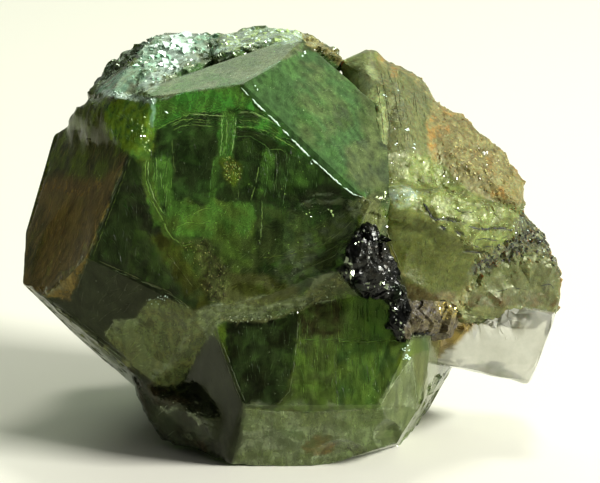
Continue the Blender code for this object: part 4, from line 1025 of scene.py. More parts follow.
def refine(places, faces, kinds, steps, detail=None):
    """Splits triangles until their edges are short enough, finer where detail asks for it."""
    flat, rough, hidden = [step * MM for step in steps]
    while True:
        normals, _ = face_normals(places, faces)
        seen = normals @ np.array(AWAY) < SEEN_TURN
        edges, face_edges = edge_table(faces)
        limit = np.full(len(edges), hidden)
        limit[face_edges[seen & (kinds == 0)].ravel()] = flat
        limit[face_edges[seen & (kinds != 0)].ravel()] = rough
        length = np.linalg.norm(places[edges[:, 0]] - places[edges[:, 1]], axis=1)
        if detail is not None:
            shown = np.zeros(len(edges), bool)
            shown[face_edges[seen].ravel()] = True
            shown &= length > FINE_STEP * MM
            middles = (places[edges[shown, 0]] + places[edges[shown, 1]]) / 2.0
            limit[shown] = np.minimum(limit[shown], detail(middles))
        long = length > limit
        if not long.any():
            return places, faces, kinds
        middle = np.full(len(edges), -1)
        middle[long] = len(places) + np.arange(long.sum())
        halves = (places[edges[long, 0]] + places[edges[long, 1]]) / 2.0
        places = np.concatenate([places, halves])
        marks = middle[face_edges]
        count = (marks >= 0).sum(axis=1)
        new_faces, new_kinds = [faces[count == 0]], [kinds[count == 0]]
        for number in (1, 2, 3):
            rows = np.nonzero(count == number)[0]
            if not len(rows):
                continue
            corners, mids = faces[rows], marks[rows]
            if number < 3:
                is_key = mids >= 0 if number == 1 else mids < 0
                key = np.argmax(is_key, axis=1)
                turn = key if number == 1 else (key + 1) % 3
                index = (turn[:, None] + np.arange(3)) % 3
                corners = np.take_along_axis(corners, index, axis=1)
                mids = np.take_along_axis(mids, index, axis=1)
            a, b, c = corners.T
            p, q, r = mids.T
            if number == 1:
                parts = [(a, p, c), (p, b, c)]
            elif number == 2:
                parts = [(p, b, q), (a, p, q), (a, q, c)]
            else:
                parts = [(a, p, r), (p, b, q), (q, c, r), (p, q, r)]
            for part in parts:
                new_faces.append(np.stack(part, axis=1))
                new_kinds.append(kinds[rows])
        faces, kinds = np.concatenate(new_faces), np.concatenate(new_kinds)


def fine_mesh(name, steps):
    """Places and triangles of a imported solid, split until they are as small as its steps."""
    places, faces = node_mesh(name)
    places, faces, _ = refine(places, faces, surface_kinds(places, faces), steps)
    return places, faces


def spread(values, faces, passes):
    """Evens out a value over neighbouring vertices."""
    edges, _ = edge_table(faces)
    degree = np.zeros(len(values))
    for side in (0, 1):
        np.add.at(degree, edges[:, side], 1.0)
    for _ in range(passes):
        total = np.zeros(len(values))
        np.add.at(total, edges[:, 0], values[edges[:, 1]])
        np.add.at(total, edges[:, 1], values[edges[:, 0]])
        values = 0.5 * values + 0.5 * total / np.maximum(degree, 1.0)
    return values


def melt(places, faces, zones):
    """Softens the shape inside outlines on the seen side; gives places and how far each melted."""
    edges, _ = edge_table(faces)
    ends = np.concatenate([edges, edges[:, ::-1]])
    degree = np.bincount(ends[:, 0], minlength=len(places))[:, None]
    across, down = picture_spots(places)
    front = front_share(vertex_normals(places, faces), MELT_TURN)
    melted = np.zeros(len(places))
    for passes, soft, outline in zones:
        share = inside_share(across, down, outline, soft) * front
        share = spread(share, faces, MELT_SPREAD)
        melted = np.maximum(melted, share)
        for _ in range(passes):
            total = np.stack([
                np.bincount(ends[:, 0], places[ends[:, 1], axis], len(places)) for axis in range(3)
            ], axis=1)
            places = places + (total / degree - places) * (MELT_STRENGTH * share)[:, None]
    return places, melted


def share_of_kind(count, faces, kinds, kind):
    """For each vertex, the share of its faces that are of a kind."""
    hits, total = np.zeros(count), np.zeros(count)
    for corner in range(3):
        np.add.at(hits, faces[:, corner], (kinds == kind).astype(float))
        np.add.at(total, faces[:, corner], 1.0)
    return hits / np.maximum(total, 1.0)


def cell_random(cells, salt):
    """A repeatable number from 0 to 1 for each whole-number cell."""
    mixed = cells[:, 0] * 73856093 ^ cells[:, 1] * 19349663 ^ cells[:, 2] * 83492791
    mixed = (mixed + salt * 2654435761) & 0x7FFFFFFF
    mixed = (mixed ^ (mixed >> 13)) * 1274126177 & 0x7FFFFFFF
    mixed = (mixed ^ (mixed >> 16)) * 668265263 & 0x7FFFFFFF
    return mixed / float(0x7FFFFFFF)


def cells_of(places, size):
    """Places in units of a size in mm, and the whole-number cell that each lies in."""
    scaled = places / (size * MM)
    return scaled, np.floor(scaled).astype(np.int64)


def chips(places, size, salt):
    """Height of a surface broken into small tilted flat chips, from -1 to 1."""
    scaled, base = cells_of(places, size)
    best = np.full(len(places), 1e9)
    height = np.zeros(len(places))
    for step in itertools.product((-1, 0, 1), repeat=3):
        cell = base + np.array(step)
        jitter = np.stack([cell_random(cell, salt + k) for k in range(3)], axis=1)
        rel = scaled - (cell + jitter)
        distance = (rel * rel).sum(axis=1)
        tilt = np.stack([cell_random(cell, salt + 3 + k) for k in range(3)], axis=1)
        plane = (rel * (tilt * 2.0 - 1.0)).sum(axis=1)
        plane += cell_random(cell, salt + 6) - 0.5
        nearer = distance < best
        best = np.where(nearer, distance, best)
        height = np.where(nearer, plane, height)
    return height


def waves(places, size, salt):
    """Soft relief from -1 to 1."""
    scaled, base = cells_of(places, size)
    share = scaled - base
    share = share * share * (3.0 - 2.0 * share)
    total = np.zeros(len(places))
    for step in itertools.product((0, 1), repeat=3):
        corner = np.array(step)
        weight = np.abs(1.0 - corner - share).prod(axis=1)
        total += weight * cell_random(base + corner, salt)
    return total * 2.0 - 1.0


def layered(pattern, places, layers, start=0.0):
    """Layers of chips or waves added to a start."""
    for tall, size, salt in layers:
        start = start + tall * pattern(places, size, salt)
    return start


def ramp(value, low, high):
    """Smooth rise from 0 at low to 1 at high."""
    share = np.clip((value - low) / (high - low), 0.0, 1.0)
    return share * share * (3.0 - 2.0 * share)


def front_share(normals, turn):
    """From 0 to 1 by how far each normal turns towards the front view, over a span of turn."""
    return ramp(-(normals @ np.array(AWAY)), *turn)


def line_distance(across, down, line):
    """Distance of each spot from an open line, in picture steps."""
    nearest = np.full(len(across), 1e9)
    for start, end in zip(line[:-1], line[1:]):
        along = np.array(end, float) - np.array(start, float)
        share = ((across - start[0]) * along[0] + (down - start[1]) * along[1]) / (along @ along)
        share = np.clip(share, 0.0, 1.0)
        away = np.hypot(across - start[0] - share * along[0], down - start[1] - share * along[1])
        nearest = np.minimum(nearest, away)
    return nearest


def outline_depth(across, down, outline):
    """How far inside a closed outline each spot lies, in picture steps; outside is negative."""
    corners = np.array(outline, float)
    low, high = corners.min(axis=0) - OUTLINE_MARGIN, corners.max(axis=0) + OUTLINE_MARGIN
    near = (across > low[0]) & (across < high[0]) & (down > low[1]) & (down < high[1])
    depth = np.full(len(across), -OUTLINE_MARGIN)
    across, down = across[near], down[near]
    inside = np.zeros(len(across), bool)
    for start, end in zip(corners, np.roll(corners, -1, axis=0)):
        if start[1] != end[1]:
            crosses = (start[1] > down) != (end[1] > down)
            at = start[0] + (down - start[1]) * (end[0] - start[0]) / (end[1] - start[1])
            inside ^= crosses & (across < at)
    nearest = line_distance(across, down, list(outline) + [outline[0]])
    depth[near] = np.where(inside, nearest, -nearest)
    return depth


def inside_share(across, down, outline, soft):
    """From 0 outside an outline to 1 inside it, over a soft edge in picture steps."""
    return ramp(outline_depth(across, down, outline), -soft / 2.0, soft / 2.0)


def wobbled_spots(places):
    """Picture spots shifted a little unevenly, so that painted borders look grown."""
    across, down = picture_spots(places)
    return layered(waves, places, WOBBLE_ACROSS, across), layered(waves, places, WOBBLE_DOWN, down)


def paint_detail(zones, lines, rims):
    """How long mesh edges may be for painted borders, lines and broken rims to come out sharp."""
    def wanted(places):
        across, down = wobbled_spots(places)
        limit = np.full(len(places), 1.0)
        for *_, soft, _, outline in zones:
            border = np.abs(outline_depth(across, down, outline)) - soft / 2.0
            base = max(FINE_STEP, 0.5 * soft * PICTURE_STEP / MM)
            limit = np.minimum(limit, base * MM + GROWTH * np.maximum(border, 0.0) * PICTURE_STEP)
        for _, _, width, _, line in lines:
            away = np.maximum(line_distance(across, down, line) - width, 0.0)
            limit = np.minimum(limit, FINE_STEP * MM + GROWTH * away * PICTURE_STEP)
        for _, _, outline in rims:
            away = np.maximum(-outline_depth(across, down, outline), 0.0)
            limit = np.minimum(limit, RIM_STEP * MM + GROWTH * away * PICTURE_STEP)
        return limit
    return wanted


def painted(places, normals, base, zones, lines):
    """Colours and haze: a base, with zones and lines on the side that the front view sees."""
    across, down = wobbled_spots(places)
    front = front_share(normals, PAINT_TURN)
    paint = base.copy()
    for number, (first, second, mottle, haze, soft, strength, outline) in enumerate(zones):
        share = inside_share(across, down, outline, soft) * strength
        rows = np.nonzero(share * front > 0.0)[0]
        size, stretch = mottle
        squeezed = places[rows] * np.array([1.0, 1.0, 1.0 / stretch])
        layers = [(0.9, size, MOTTLE + number), (0.5, size / 2.6, FINE_MOTTLE + number)]
        blend = ramp(layered(waves, squeezed, layers, 0.5), 0.1, 0.9)[:, None]
        colour = np.array(COLOURS[first]) * (1.0 - blend) + np.array(COLOURS[second]) * blend
        target = np.concatenate([colour, np.full((len(rows), 1), haze)], axis=1)
        paint[rows] += (target - paint[rows]) * (share * front)[rows, None]
    for number, (name, haze, width, strength, line) in enumerate(lines):
        away = line_distance(across, down, line)
        share = (1.0 - ramp(away, width * 0.25, width * 0.75)) * strength * front
        share = share * (0.75 + 0.45 * waves(places, 0.30, LINE_MOTTLE + number))
        target = np.array([*COLOURS[name], haze])
        paint += (target - paint) * np.clip(share, 0.0, 1.0)[:, None]
    return paint


def blended(places, names, size, salt, haze):
    """A base of colours that run into each other in soft patches."""
    level = layered(waves, places, [(0.7, size, salt), (0.35, size / 3.0, salt + 1)], 0.5)
    level = np.clip(level, 0.0, 1.0) * (len(names) - 1)
    low = np.minimum(level.astype(int), len(names) - 2)
    table = np.array([[*COLOURS[name], haze] for name in names])
    share = (level - low)[:, None]
    return table[low] * (1.0 - share) + table[low + 1] * share


def sharp_edges(places, faces, kinds):
    """Both ends of the edges where flat crystal faces end."""
    normals, _ = face_normals(places, faces)
    edges, face_edges = edge_table(faces)
    first = np.full(len(edges), -1)
    second = np.full(len(edges), -1)
    for corner in range(3):
        rows = face_edges[:, corner]
        fresh = first[rows] < 0
        numbers = np.arange(len(faces))
        second[rows[~fresh]] = numbers[~fresh]
        first[rows[fresh]] = numbers[fresh]
    both = (first >= 0) & (second >= 0)
    turn = np.zeros(len(edges))
    turn[both] = (normals[first[both]] * normals[second[both]]).sum(axis=1)
    flat = both.copy()
    flat[both] = (kinds[first[both]] == 0) | (kinds[second[both]] == 0)
    sharp = flat & (turn < math.cos(SHARP_ANGLE))
    return places[edges[sharp]]


def edge_distance(places, edges):
    """Distance of each place from the nearest of some edges."""
    nearest = np.full(len(places), 1.0)
    for start, end in edges:
        low = np.minimum(start, end) - EDGE_REACH
        high = np.maximum(start, end) + EDGE_REACH
        rows = np.nonzero(((places > low) & (places < high)).all(axis=1))[0]
        along = end - start
        share = np.clip((places[rows] - start) @ along / (along @ along), 0.0, 1.0)
        away = np.linalg.norm(places[rows] - start - share[:, None] * along, axis=1)
        nearest[rows] = np.minimum(nearest[rows], away)
    return nearest


def ranged(tree, source, start, end, low, high):
    """A node that maps one span of values onto another."""
    step = tree.nodes.new("ShaderNodeMapRange")
    spans = {"From Min": start, "From Max": end, "To Min": low, "To Max": high}
    for socket, value in spans.items():
        step.inputs[socket].default_value = value
    tree.links.new(source, step.inputs["Value"])
    return step.outputs["Result"]


def principled(name, **values):
    """A material with its own values on the shader's sockets."""
    material = bpy.data.materials.new(name)
    material.use_nodes = True
    shader = material.node_tree.nodes["Principled BSDF"]
    for key, value in values.items():
        shader.inputs[key.replace("_", " ")].default_value = value
    return material, shader


def tinted(
    name, variation, gloss, grain=0.10, stretch=1.0, relief=(0.05, 0.002), dust=(0.0, 0.0), **values
):
    """A stone material that takes its colours and haze from the painted tint.

    The colours vary by a share, with a grain in mm and an upright stretch. Roughness (gloss) and
    dust are given without and with haze, and the relief as its grain and height in mm.
    """
    material, shader = principled(name, **values)
    tree = material.node_tree
    nodes, links = tree.nodes, tree.links
    tint = nodes.new("ShaderNodeVertexColor")
    tint.layer_name = "tint"
    place = nodes.new("ShaderNodeTexCoord")
    mapping = nodes.new("ShaderNodeMapping")
    mapping.inputs["Scale"].default_value = (1.0, 1.0, stretch)
    links.new(place.outputs["Object"], mapping.inputs["Vector"])
    plain, drawn = place.outputs["Object"], mapping.outputs["Vector"]
    haze = tint.outputs["Alpha"]

    def grains(size, detail, where):
        texture = nodes.new("ShaderNodeTexNoise")
        texture.inputs["Scale"].default_value = 1.0 / (size * MM)
        texture.inputs["Detail"].default_value = detail
        links.new(where, texture.inputs["Vector"])
        return texture.outputs["Fac"]

    def times(one, two):
        product = nodes.new("ShaderNodeMath")
        product.operation = "MULTIPLY"
        links.new(one, product.inputs[0])
        links.new(two, product.inputs[1])
        return product.outputs["Value"]

    # Colours: the tint, lighter and darker by a coarse and a fine grain
    coarse = ranged(tree, grains(grain, 4.0, drawn), 0.32, 0.68, 1.0 - variation, 1.0 + variation)
    small = variation * FINE_SHARE
    fine = ranged(tree, grains(FINE_GRAIN, 3.0, plain), 0.30, 0.70, 1.0 - small, 1.0 + small)
    scale = nodes.new("ShaderNodeVectorMath")
    scale.operation = "SCALE"
    links.new(tint.outputs["Color"], scale.inputs[0])
    links.new(times(coarse, fine), scale.inputs["Scale"])

    # Pale dust in specks over them
    specks = ranged(tree, grains(DUST_GRAIN, 2.0, plain), 0.56, 0.70, 0.0, 1.0)
    covered = ranged(tree, haze, 0.0, 1.0, *dust)
    powder = nodes.new("ShaderNodeMixRGB")
    powder.inputs["Color2"].default_value = (*COLOURS["haze"], 1.0)
    links.new(times(specks, covered), powder.inputs["Fac"])
    links.new(scale.outputs["Vector"], powder.inputs["Color1"])
    links.new(powder.outputs["Color"], shader.inputs["Base Color"])

    # Roughness in patches, and fine relief
    dull = ranged(tree, haze, 0.0, 1.0, *gloss)
    patches = ranged(tree, grains(grain * 0.7, 3.0, drawn), 0.32, 0.68, 0.7, 1.3)
    links.new(times(dull, patches), shader.inputs["Roughness"])
    relief_grain, relief_height = relief
    bump = nodes.new("ShaderNodeBump")
    bump.inputs["Strength"].default_value = 1.0
    bump.inputs["Distance"].default_value = relief_height * MM
    links.new(grains(relief_grain, 4.0, drawn), bump.inputs["Height"])
    links.new(bump.outputs["Normal"], shader.inputs["Normal"])
    return material


def absorb(material, colour, density):
    """Plain absorption of light inside a clear stone."""
    nodes, links = material.node_tree.nodes, material.node_tree.links
    inside = nodes.new("ShaderNodeVolumeAbsorption")
    inside.inputs["Color"].default_value = (*colour, 1.0)
    inside.inputs["Density"].default_value = density
    links.new(inside.outputs["Volume"], nodes["Material Output"].inputs["Volume"])


def direction(azimuth, height):
    """Unit vector by azimuth from +Y towards +X and height above the floor, in degrees."""
    turn, lift = math.radians(azimuth), math.radians(height)
    flat = math.cos(lift)
    return Vector((math.sin(turn) * flat, math.cos(turn) * flat, math.sin(lift)))


def add_object(name, data):
    """A new object in the scene."""
    thing = bpy.data.objects.new(name, data)
    bpy.context.scene.collection.objects.link(thing)
    return thing


def build_piece(name, places, faces, paint, *materials):
    """An object kept on or above the floor, with painted colours and haze for its materials."""
    places[:, 2] = np.maximum(places[:, 2], 0.0)
    mesh = bpy.data.meshes.new(name)
    mesh.from_pydata(places.tolist(), [], faces)
    mesh.update()
    layer = mesh.color_attributes.new("tint", "FLOAT_COLOR", "POINT")
    layer.data.foreach_set("color", paint.astype(np.float32).ravel())
    for material in materials:
        mesh.materials.append(material)
    return add_object(name, mesh)


def shade(piece, degrees):
    """Smooth shading that keeps edges sharper than an angle."""
    piece.data.shade_smooth()
    piece.data.set_sharp_from_angle(angle=math.radians(degrees))


def build_details(name, corners, faces, paint, material):
    """Many small closed shapes as one piece."""
    places = np.array([tuple(corner) for corner in corners])
    piece = build_piece(name, places, faces, np.array(paint), material)
    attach(piece, "root")


def close_gap(places, neighbours, reach, full, sink):
    """Draws a surface onto its neighbours, wholly within a distance and less and less out to reach."""
    moved = places.copy()
    for tree in neighbours:
        for index, place in enumerate(moved):
            hit, normal, _, distance = tree.find_nearest(Vector(place), reach * MM)
            if hit is not None:
                pull = min(1.0, (reach * MM - distance) / ((reach - full) * MM))
                target = np.array(hit - normal * (sink * MM))
                moved[index] = place + (target - place) * pull
    return moved


def tree_of(places, faces):
    """A search tree over triangles."""
    return BVHTree.FromPolygons([Vector(p) for p in places], faces.tolist())


def random_spots(outline, tries, chance):
    """Random spots inside an outline, out of a number of tries."""
    xs, ys = zip(*outline)
    for _ in range(tries):
        across = chance.uniform(min(xs), max(xs))
        down = chance.uniform(min(ys), max(ys))
        if outline_depth(np.array([across]), np.array([down]), outline)[0] >= 0.0:
            yield across, down


def shard_corners(hit, facing, side, size, sides, jitter):
    """Corners of a small uneven plate: a wide ring above and a narrower one below."""
    over = facing.cross(side)
    corners = []
    for level, width in SHARD_RINGS:
        for step in range(sides):
            angle = 2.0 * math.pi * (step + 0.35 * jitter.x) / sides
            reach = size * (0.42 + 0.22 * math.sin(3.7 * step + 9.0 * jitter.y))
            spot = side * math.cos(angle) * reach + over * math.sin(angle) * reach * 0.8
            corners.append(hit + spot * width + facing * level * size * 0.5)
    return corners


def sprinkle(name, tree, clusters, material, seed):
    """Small closed shards on a surface, gathered in one mesh."""
    chance = random.Random(seed)
    corners, faces, paint = [], [], []
    for colour, count, (small, large), turn, outline in clusters:
        made = 0
        for spot in random_spots(outline, TRIES * count, chance):
            hit, normal, _, _ = tree.ray_cast(EYE, spot_ray(*spot))
            if hit is None:
                continue
            light = direction(*chance.choice((TOP_LIGHT, RIGHT_LIGHT)))
            half = ((EYE - hit).normalized() + light).normalized()
            jitter = Vector([chance.uniform(-1.0, 1.0) for _ in range(3)])
            facing = normal.lerp(half, turn * chance.uniform(0.7, 1.0)) + jitter * SHARD_SHAKE
            facing.normalize()
            side = facing.cross(RIGHT.lerp(UP, chance.random())).normalized()
            size = chance.uniform(small, large) * MM
            sides = chance.randint(4, 6)
            ring = list(range(len(corners), len(corners) + sides))
            low = [corner + sides for corner in ring]
            corners += shard_corners(hit, facing, side, size, sides, jitter)
            paint += [[*COLOURS[colour], SHARD_HAZE]] * (2 * sides)
            faces.append(ring)
            faces.append(low[::-1])
            for step in range(sides):
                after = (step + 1) % sides
                faces.append([ring[step], low[step], low[after], ring[after]])
            made += 1
            if made == count:
                break
    build_details(name, corners, faces, paint, material)


def fissure_runs(fissures, chance):
    """Each fissure as broken runs of spots: colour, width, spots."""
    runs = []
    for colour, width, line in fissures:
        spots = []
        for (x0, y0), (x1, y1) in zip(line[:-1], line[1:]):
            count = max(2, int(math.hypot(x1 - x0, y1 - y0) / FISSURE_STEP))
            for step in range(count):
                shake = [chance.uniform(-0.45, 0.45) for _ in range(2)]
                share = step / count
                spots.append((x0 + (x1 - x0) * share + shake[0], y0 + (y1 - y0) * share + shake[1]))
        spots.append(line[-1])
        start = 0
        while start < len(spots) - 2:
            count = chance.randint(5, 18)
            runs.append((colour, width, spots[start:start + count + 1]))
            start += count + chance.choice((0, 0, 1, 2))
    return runs


def fibre_runs(fibres, chance):
    """Short, slightly bent lines strewn over outlines: colour, width, spots."""
    runs = []
    for colour, count, (short, long), (lean, lean_spread), width, outline in fibres:
        for across, down in itertools.islice(random_spots(outline, TRIES * count, chance), count):
            angle = math.radians(lean + chance.uniform(-lean_spread, lean_spread))
            bend = chance.uniform(-0.05, 0.05)
            spots = []
            for _ in range(max(3, int(chance.uniform(short, long) / FISSURE_STEP))):
                spots.append((across, down))
                across += math.sin(angle) * FISSURE_STEP + chance.uniform(-0.25, 0.25)
                down -= math.cos(angle) * FISSURE_STEP
                angle += bend
            runs.append((colour, width * chance.uniform(0.5, 1.2), spots))
    return runs


def lay_strips(name, tree, runs, height, material, seed):
    """Narrow closed strips laid along runs of spots, in one mesh; height in mm."""
    chance = random.Random(seed)
    corners, faces, paint = [], [], []
    for colour, width, spots in runs:
        hits = [tree.ray_cast(EYE, spot_ray(*spot)) for spot in spots]
        if any(hit[0] is None for hit in hits):
            continue
        if any((one[0] - two[0]).length > STRIP_JUMP for one, two in zip(hits[:-1], hits[1:])):
            continue
        first = len(corners)
        last_step = len(hits) - 1
        for index, (hit, normal, _, _) in enumerate(hits):
            ahead = hits[min(index + 1, last_step)][0] - hits[max(index - 1, 0)][0]
            side = normal.cross(ahead).normalized()
            taper = min(1.0, 0.2 + index / 2.5, 0.2 + (last_step - index) / 2.5)
            wide = width * MM * taper * chance.uniform(0.7, 1.5) / 2.0
            corners.append(hit - side * wide - normal * STRIP_SINK * MM)
            corners.append(hit + normal * height * MM * taper)
            corners.append(hit + side * wide - normal * STRIP_SINK * MM)
            paint += [[*COLOURS[colour], STRIP_HAZE]] * 3
        faces.append([first, first + 1, first + 2])
        for now in range(first, first + 3 * last_step, 3):
            after = now + 3
            for one, two in ((0, 1), (1, 2), (2, 0)):
                faces.append([now + two, now + one, after + one, after + two])
        last = first + 3 * last_step
        faces.append([last + 2, last + 1, last])
    build_details(name, corners, faces, paint, material)


def relief_share(places, normals, start, zones):
    """How much of the full relief a surface has, by outlines on the side that the view sees."""
    across, down = picture_spots(places)
    front = front_share(normals, PAINT_TURN)
    share = np.full(len(places), start)
    for level, soft, outline in zones:
        share += (level - share) * (inside_share(across, down, outline, soft) * front)
    return share


def dull_faces(places, faces):
    """Which triangles belong to whole crystal faces that mirror little."""
    normals, _ = face_normals(places, faces)
    dull = np.zeros(len(faces), bool)
    for facing, closeness in DULL_FACES:
        dull |= normals @ np.array(Vector(facing).normalized()) > closeness
    return dull


def dull_parts(places, faces):
    """Which seen triangles lie in the broken parts that mirror little."""
    across, down = picture_spots(places[faces].mean(axis=1))
    seen = face_normals(places, faces)[0] @ np.array(AWAY) < 0.0
    dull = np.zeros(len(faces), bool)
    for outline in DULL_PARTS:
        dull |= seen & (outline_depth(across, down, outline) > 0.0)
    return dull


def rib_pattern(places, normals):
    """Shell-shaped ribs of the garnet inside their zone, from -1 to 1."""
    across, down = picture_spots(places)
    ribs = np.hypot(across - RIB_MIDDLE[0], down - RIB_MIDDLE[1]) / RIB_SPACING
    ribs = np.sin(2.0 * math.pi * layered(waves, places, RIB_SWAY, ribs))
    ribs = ribs * ramp(outline_depth(across, down, RIB_ZONE), *RIB_EDGE)
    return ribs * front_share(normals, RIB_TURN)


def worn_share(places, edges, melted):
    """How worn the stone is along the edges of its crystal faces, from 0 to 1."""
    worn = 1.0 - ramp(edge_distance(places, edges), *WORN_REACH)
    worn = worn * ramp(layered(waves, places, WORN_WAVES), *WORN_PATCHES)
    return worn * (1.0 - melted)


def make_garnet():
    """The green garnet crystals with their shards, fissures, dust, and a bright edge painted as a
    highlight.
    """
    places, faces = node_mesh("garnet_crystals")
    kinds = surface_kinds(places, faces)
    edges = sharp_edges(places, faces, kinds)
    detail = paint_detail(GARNET_ZONES, GARNET_LINES, GARNET_RIMS)
    places, faces, kinds = refine(places, faces, kinds, GARNET_STEPS, detail)
    mirrors_little = dull_faces(places, faces)
    places, melted = melt(places, faces, GARNET_MELTS)
    normals = vertex_normals(places, faces)

    base = blended(places, *GARNET_BASE)
    paint = painted(places, normals, base, GARNET_ZONES, GARNET_LINES)
    gain = np.minimum(GARNET_GAIN, PAINT_LIMIT / paint[:, :3].max(axis=1))
    paint[:, :3] *= gain[:, None]
    worn = worn_share(places, edges, melted)
    paint += (np.array([*COLOURS["haze"], 0.5]) - paint) * (worn * 0.5)[:, None]
    ribs = rib_pattern(places, normals)
    paint[:, :3] *= (1.0 + RIB_TINT * ribs)[:, None]

    rough = spread(share_of_kind(len(places), faces, kinds, 1), faces, 2)
    rough = rough * relief_share(places, normals, 1.0, GARNET_RELIEF)
    rims = relief_share(places, normals, 0.0, GARNET_RIMS)
    height = rough * layered(chips, places, GARNET_CHIPS)
    rim_height = layered(waves, places, RIM_WAVES, layered(chips, places, RIM_CHIPS)) - RIM_SINK
    height = height + rims * rim_height
    height = layered(waves, places, GARNET_WAVES, height)
    height = height + RIB_HEIGHT * ribs + HAZE_HEIGHT * paint[:, 3] * chips(places, *HAZE_GRAIN)
    height = height - WORN_DEPTH * worn * (0.5 + 0.5 * waves(places, *WORN_GRAIN))
    places = places + normals * (height * MM)[:, None]

    clear = {"variation": 0.42, "grain": 0.26, "dust": (0.0, 0.10), "IOR": GARNET_IOR}
    glass = tinted(
        "garnet_glass", gloss=(0.03, 0.50), stretch=0.16, relief=(0.25, 0.003),
        Transmission_Weight=0.55, Specular_Tint=(0.46, 0.54, 0.28, 1.0), **clear,
    )
    broken = tinted(
        "garnet_broken", 0.45, (0.08, 0.50), 0.22, relief=(0.12, 0.008), dust=(0.0, 0.30),
        IOR=GARNET_IOR, Transmission_Weight=0.50, Specular_Tint=(0.65, 0.80, 0.55, 1.0),
    )
    dull = tinted(
        "garnet_dull", gloss=(0.06, 0.50), stretch=0.5, relief=(0.20, 0.004),
        Transmission_Weight=0.50, Specular_Tint=(0.14, 0.16, 0.08, 1.0), **clear,
    )
    for material in (glass, broken, dull):
        absorb(material, *GARNET_ABSORPTION)
    piece = build_piece("garnet_stone", places, faces.tolist(), paint, glass, broken, dull)
    shade(piece, 22.0)
    kind_of_stone = np.where(kinds == 1, 1, 0)
    kind_of_stone[mirrors_little | dull_parts(places, faces)] = 2
    piece.data.polygons.foreach_set("material_index", kind_of_stone.astype(np.int32))
    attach(piece, "root")
    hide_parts("garnet_crystals")

    tree = tree_of(places, faces)
    shard = tinted("garnet_shard", 0.15, (0.06, 0.30), IOR=GARNET_IOR)
    line = tinted("garnet_line", 0.30, (0.20, 0.60), IOR=LINE_IOR)
    sprinkle("garnet_shards", tree, GARNET_FLAKES, shard, seed=3)
    sprinkle("garnet_dust", tree, DUST, line, seed=4)
    chance = random.Random(7)
    # Painted highlight: pale strips along the bright edge of the upper window
    runs = fissure_runs(EDGE_HIGHLIGHTS, chance)
    lay_strips("edge_highlight_strips", tree, runs, EDGE_HEIGHT, shard, seed=8)
    runs = fissure_runs(GARNET_FISSURES, chance) + fibre_runs(GARNET_FIBRES, chance)
    lay_strips("garnet_fissures", tree, runs, FISSURE_HEIGHT, line, seed=9)
    return tree


def make_matrix(neighbours):
    """The pale stained matrix with its sparkling grains."""
    places, faces = fine_mesh("pale_matrix", MATRIX_STEPS)
    places, _ = melt(places, faces, MATRIX_MELTS)
    normals = vertex_normals(places, faces)
    across, down = picture_spots(places)
    front = front_share(normals, PAINT_TURN)
    broken = relief_share(places, normals, 1.0, MATRIX_RELIEF)
    height = broken * layered(chips, places, MATRIX_CHIPS)
    height = layered(waves, places, MATRIX_WAVES, height)
    plain, rough = MATRIX_GRAIN_HEIGHTS
    height = height + (plain + rough * broken) * chips(places, *MATRIX_GRAIN)
    for line in CRACKS:
        away = line_distance(across, down, line)
        height = height - CRACK_DEPTH * (1.0 - ramp(away, *CRACK_REACH)) * front
    for middle_across, middle_down, reach, tall in MATRIX_DOMES:
        away = np.hypot(across - middle_across, down - middle_down)
        height = height + tall * (1.0 - ramp(away, 0.0, reach)) * front
    places = places + normals * (height * MM)[:, None]
    places = close_gap(places, neighbours, *MATRIX_CLOSING)

    base = blended(places, *MATRIX_BASE)
    paint = painted(places, normals, base, MATRIX_ZONES, MATRIX_LINES)
    paint[:, :3] *= MATRIX_GAIN
    material = tinted(
        "matrix_rough", 0.30, (0.22, 0.80), 0.24, relief=(0.10, 0.012), dust=(0.05, 0.30),
        IOR=1.56, Subsurface_Weight=0.25, Subsurface_Scale=0.0012,
        Specular_Tint=(0.60, 0.64, 0.40, 1.0),
    )
    piece = build_piece("matrix_stone", places, faces.tolist(), paint, material)
    shade(piece, 24.0)
    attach(piece, "root")
    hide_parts("pale_matrix")

    tree = tree_of(places, faces)
    shard = tinted("matrix_shard", 0.20, (0.12, 0.40), IOR=1.60)
    line = tinted("matrix_line", 0.30, (0.50, 0.90), IOR=LINE_IOR)
    sprinkle("matrix_shards", tree, MATRIX_FLAKES, shard, seed=5)
    chance = random.Random(10)
    runs = fissure_runs(MATRIX_CRACKS, chance) + fibre_runs(MATRIX_FIBRES, chance)
    lay_strips("matrix_cracks", tree, runs, MATRIX_CRACK_HEIGHT, line, seed=11)
    return tree


def make_seam(neighbours):
    """The dark metallic seam with its rusty lump and glints."""
    places, faces = fine_mesh("metallic_seam", SEAM_STEPS)
    normals = vertex_normals(places, faces)
    height = layered(waves, places, SEAM_WAVES, layered(chips, places, SEAM_CHIPS))
    places = places + normals * (height * MM)[:, None]
    places = close_gap(places, neighbours, *SEAM_CLOSING)

    base = blended(places, *SEAM_BASE)
    paint = painted(places, normals, base, SEAM_ZONES, [])
    paint[:, :3] *= SEAM_GAIN
    metal = tinted(
        "seam_metal", 0.45, (0.10, 0.55), 0.15, relief=(0.07, 0.008), dust=(0.0, 0.1), Metallic=0.75
    )
    rust = tinted("seam_rust", 0.45, (0.30, 0.75), 0.14, relief=(0.07, 0.012), dust=(0.0, 0.2))
    piece = build_piece("seam_stone", places, faces.tolist(), paint, metal, rust)
    shade(piece, 18.0)
    across, down = picture_spots(places[faces].mean(axis=1))
    rusty = outline_depth(across, down, RUST_LUMP) > 0.0
    piece.data.polygons.foreach_set("material_index", rusty.astype(np.int32))
    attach(piece, "root")
    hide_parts("metallic_seam")

    tree = tree_of(places, faces)
    shard = tinted("seam_shard", 0.20, (0.10, 0.30), Metallic=0.6)
    sprinkle("seam_shards", tree, SEAM_FLAKES, shard, seed=6)
    return tree


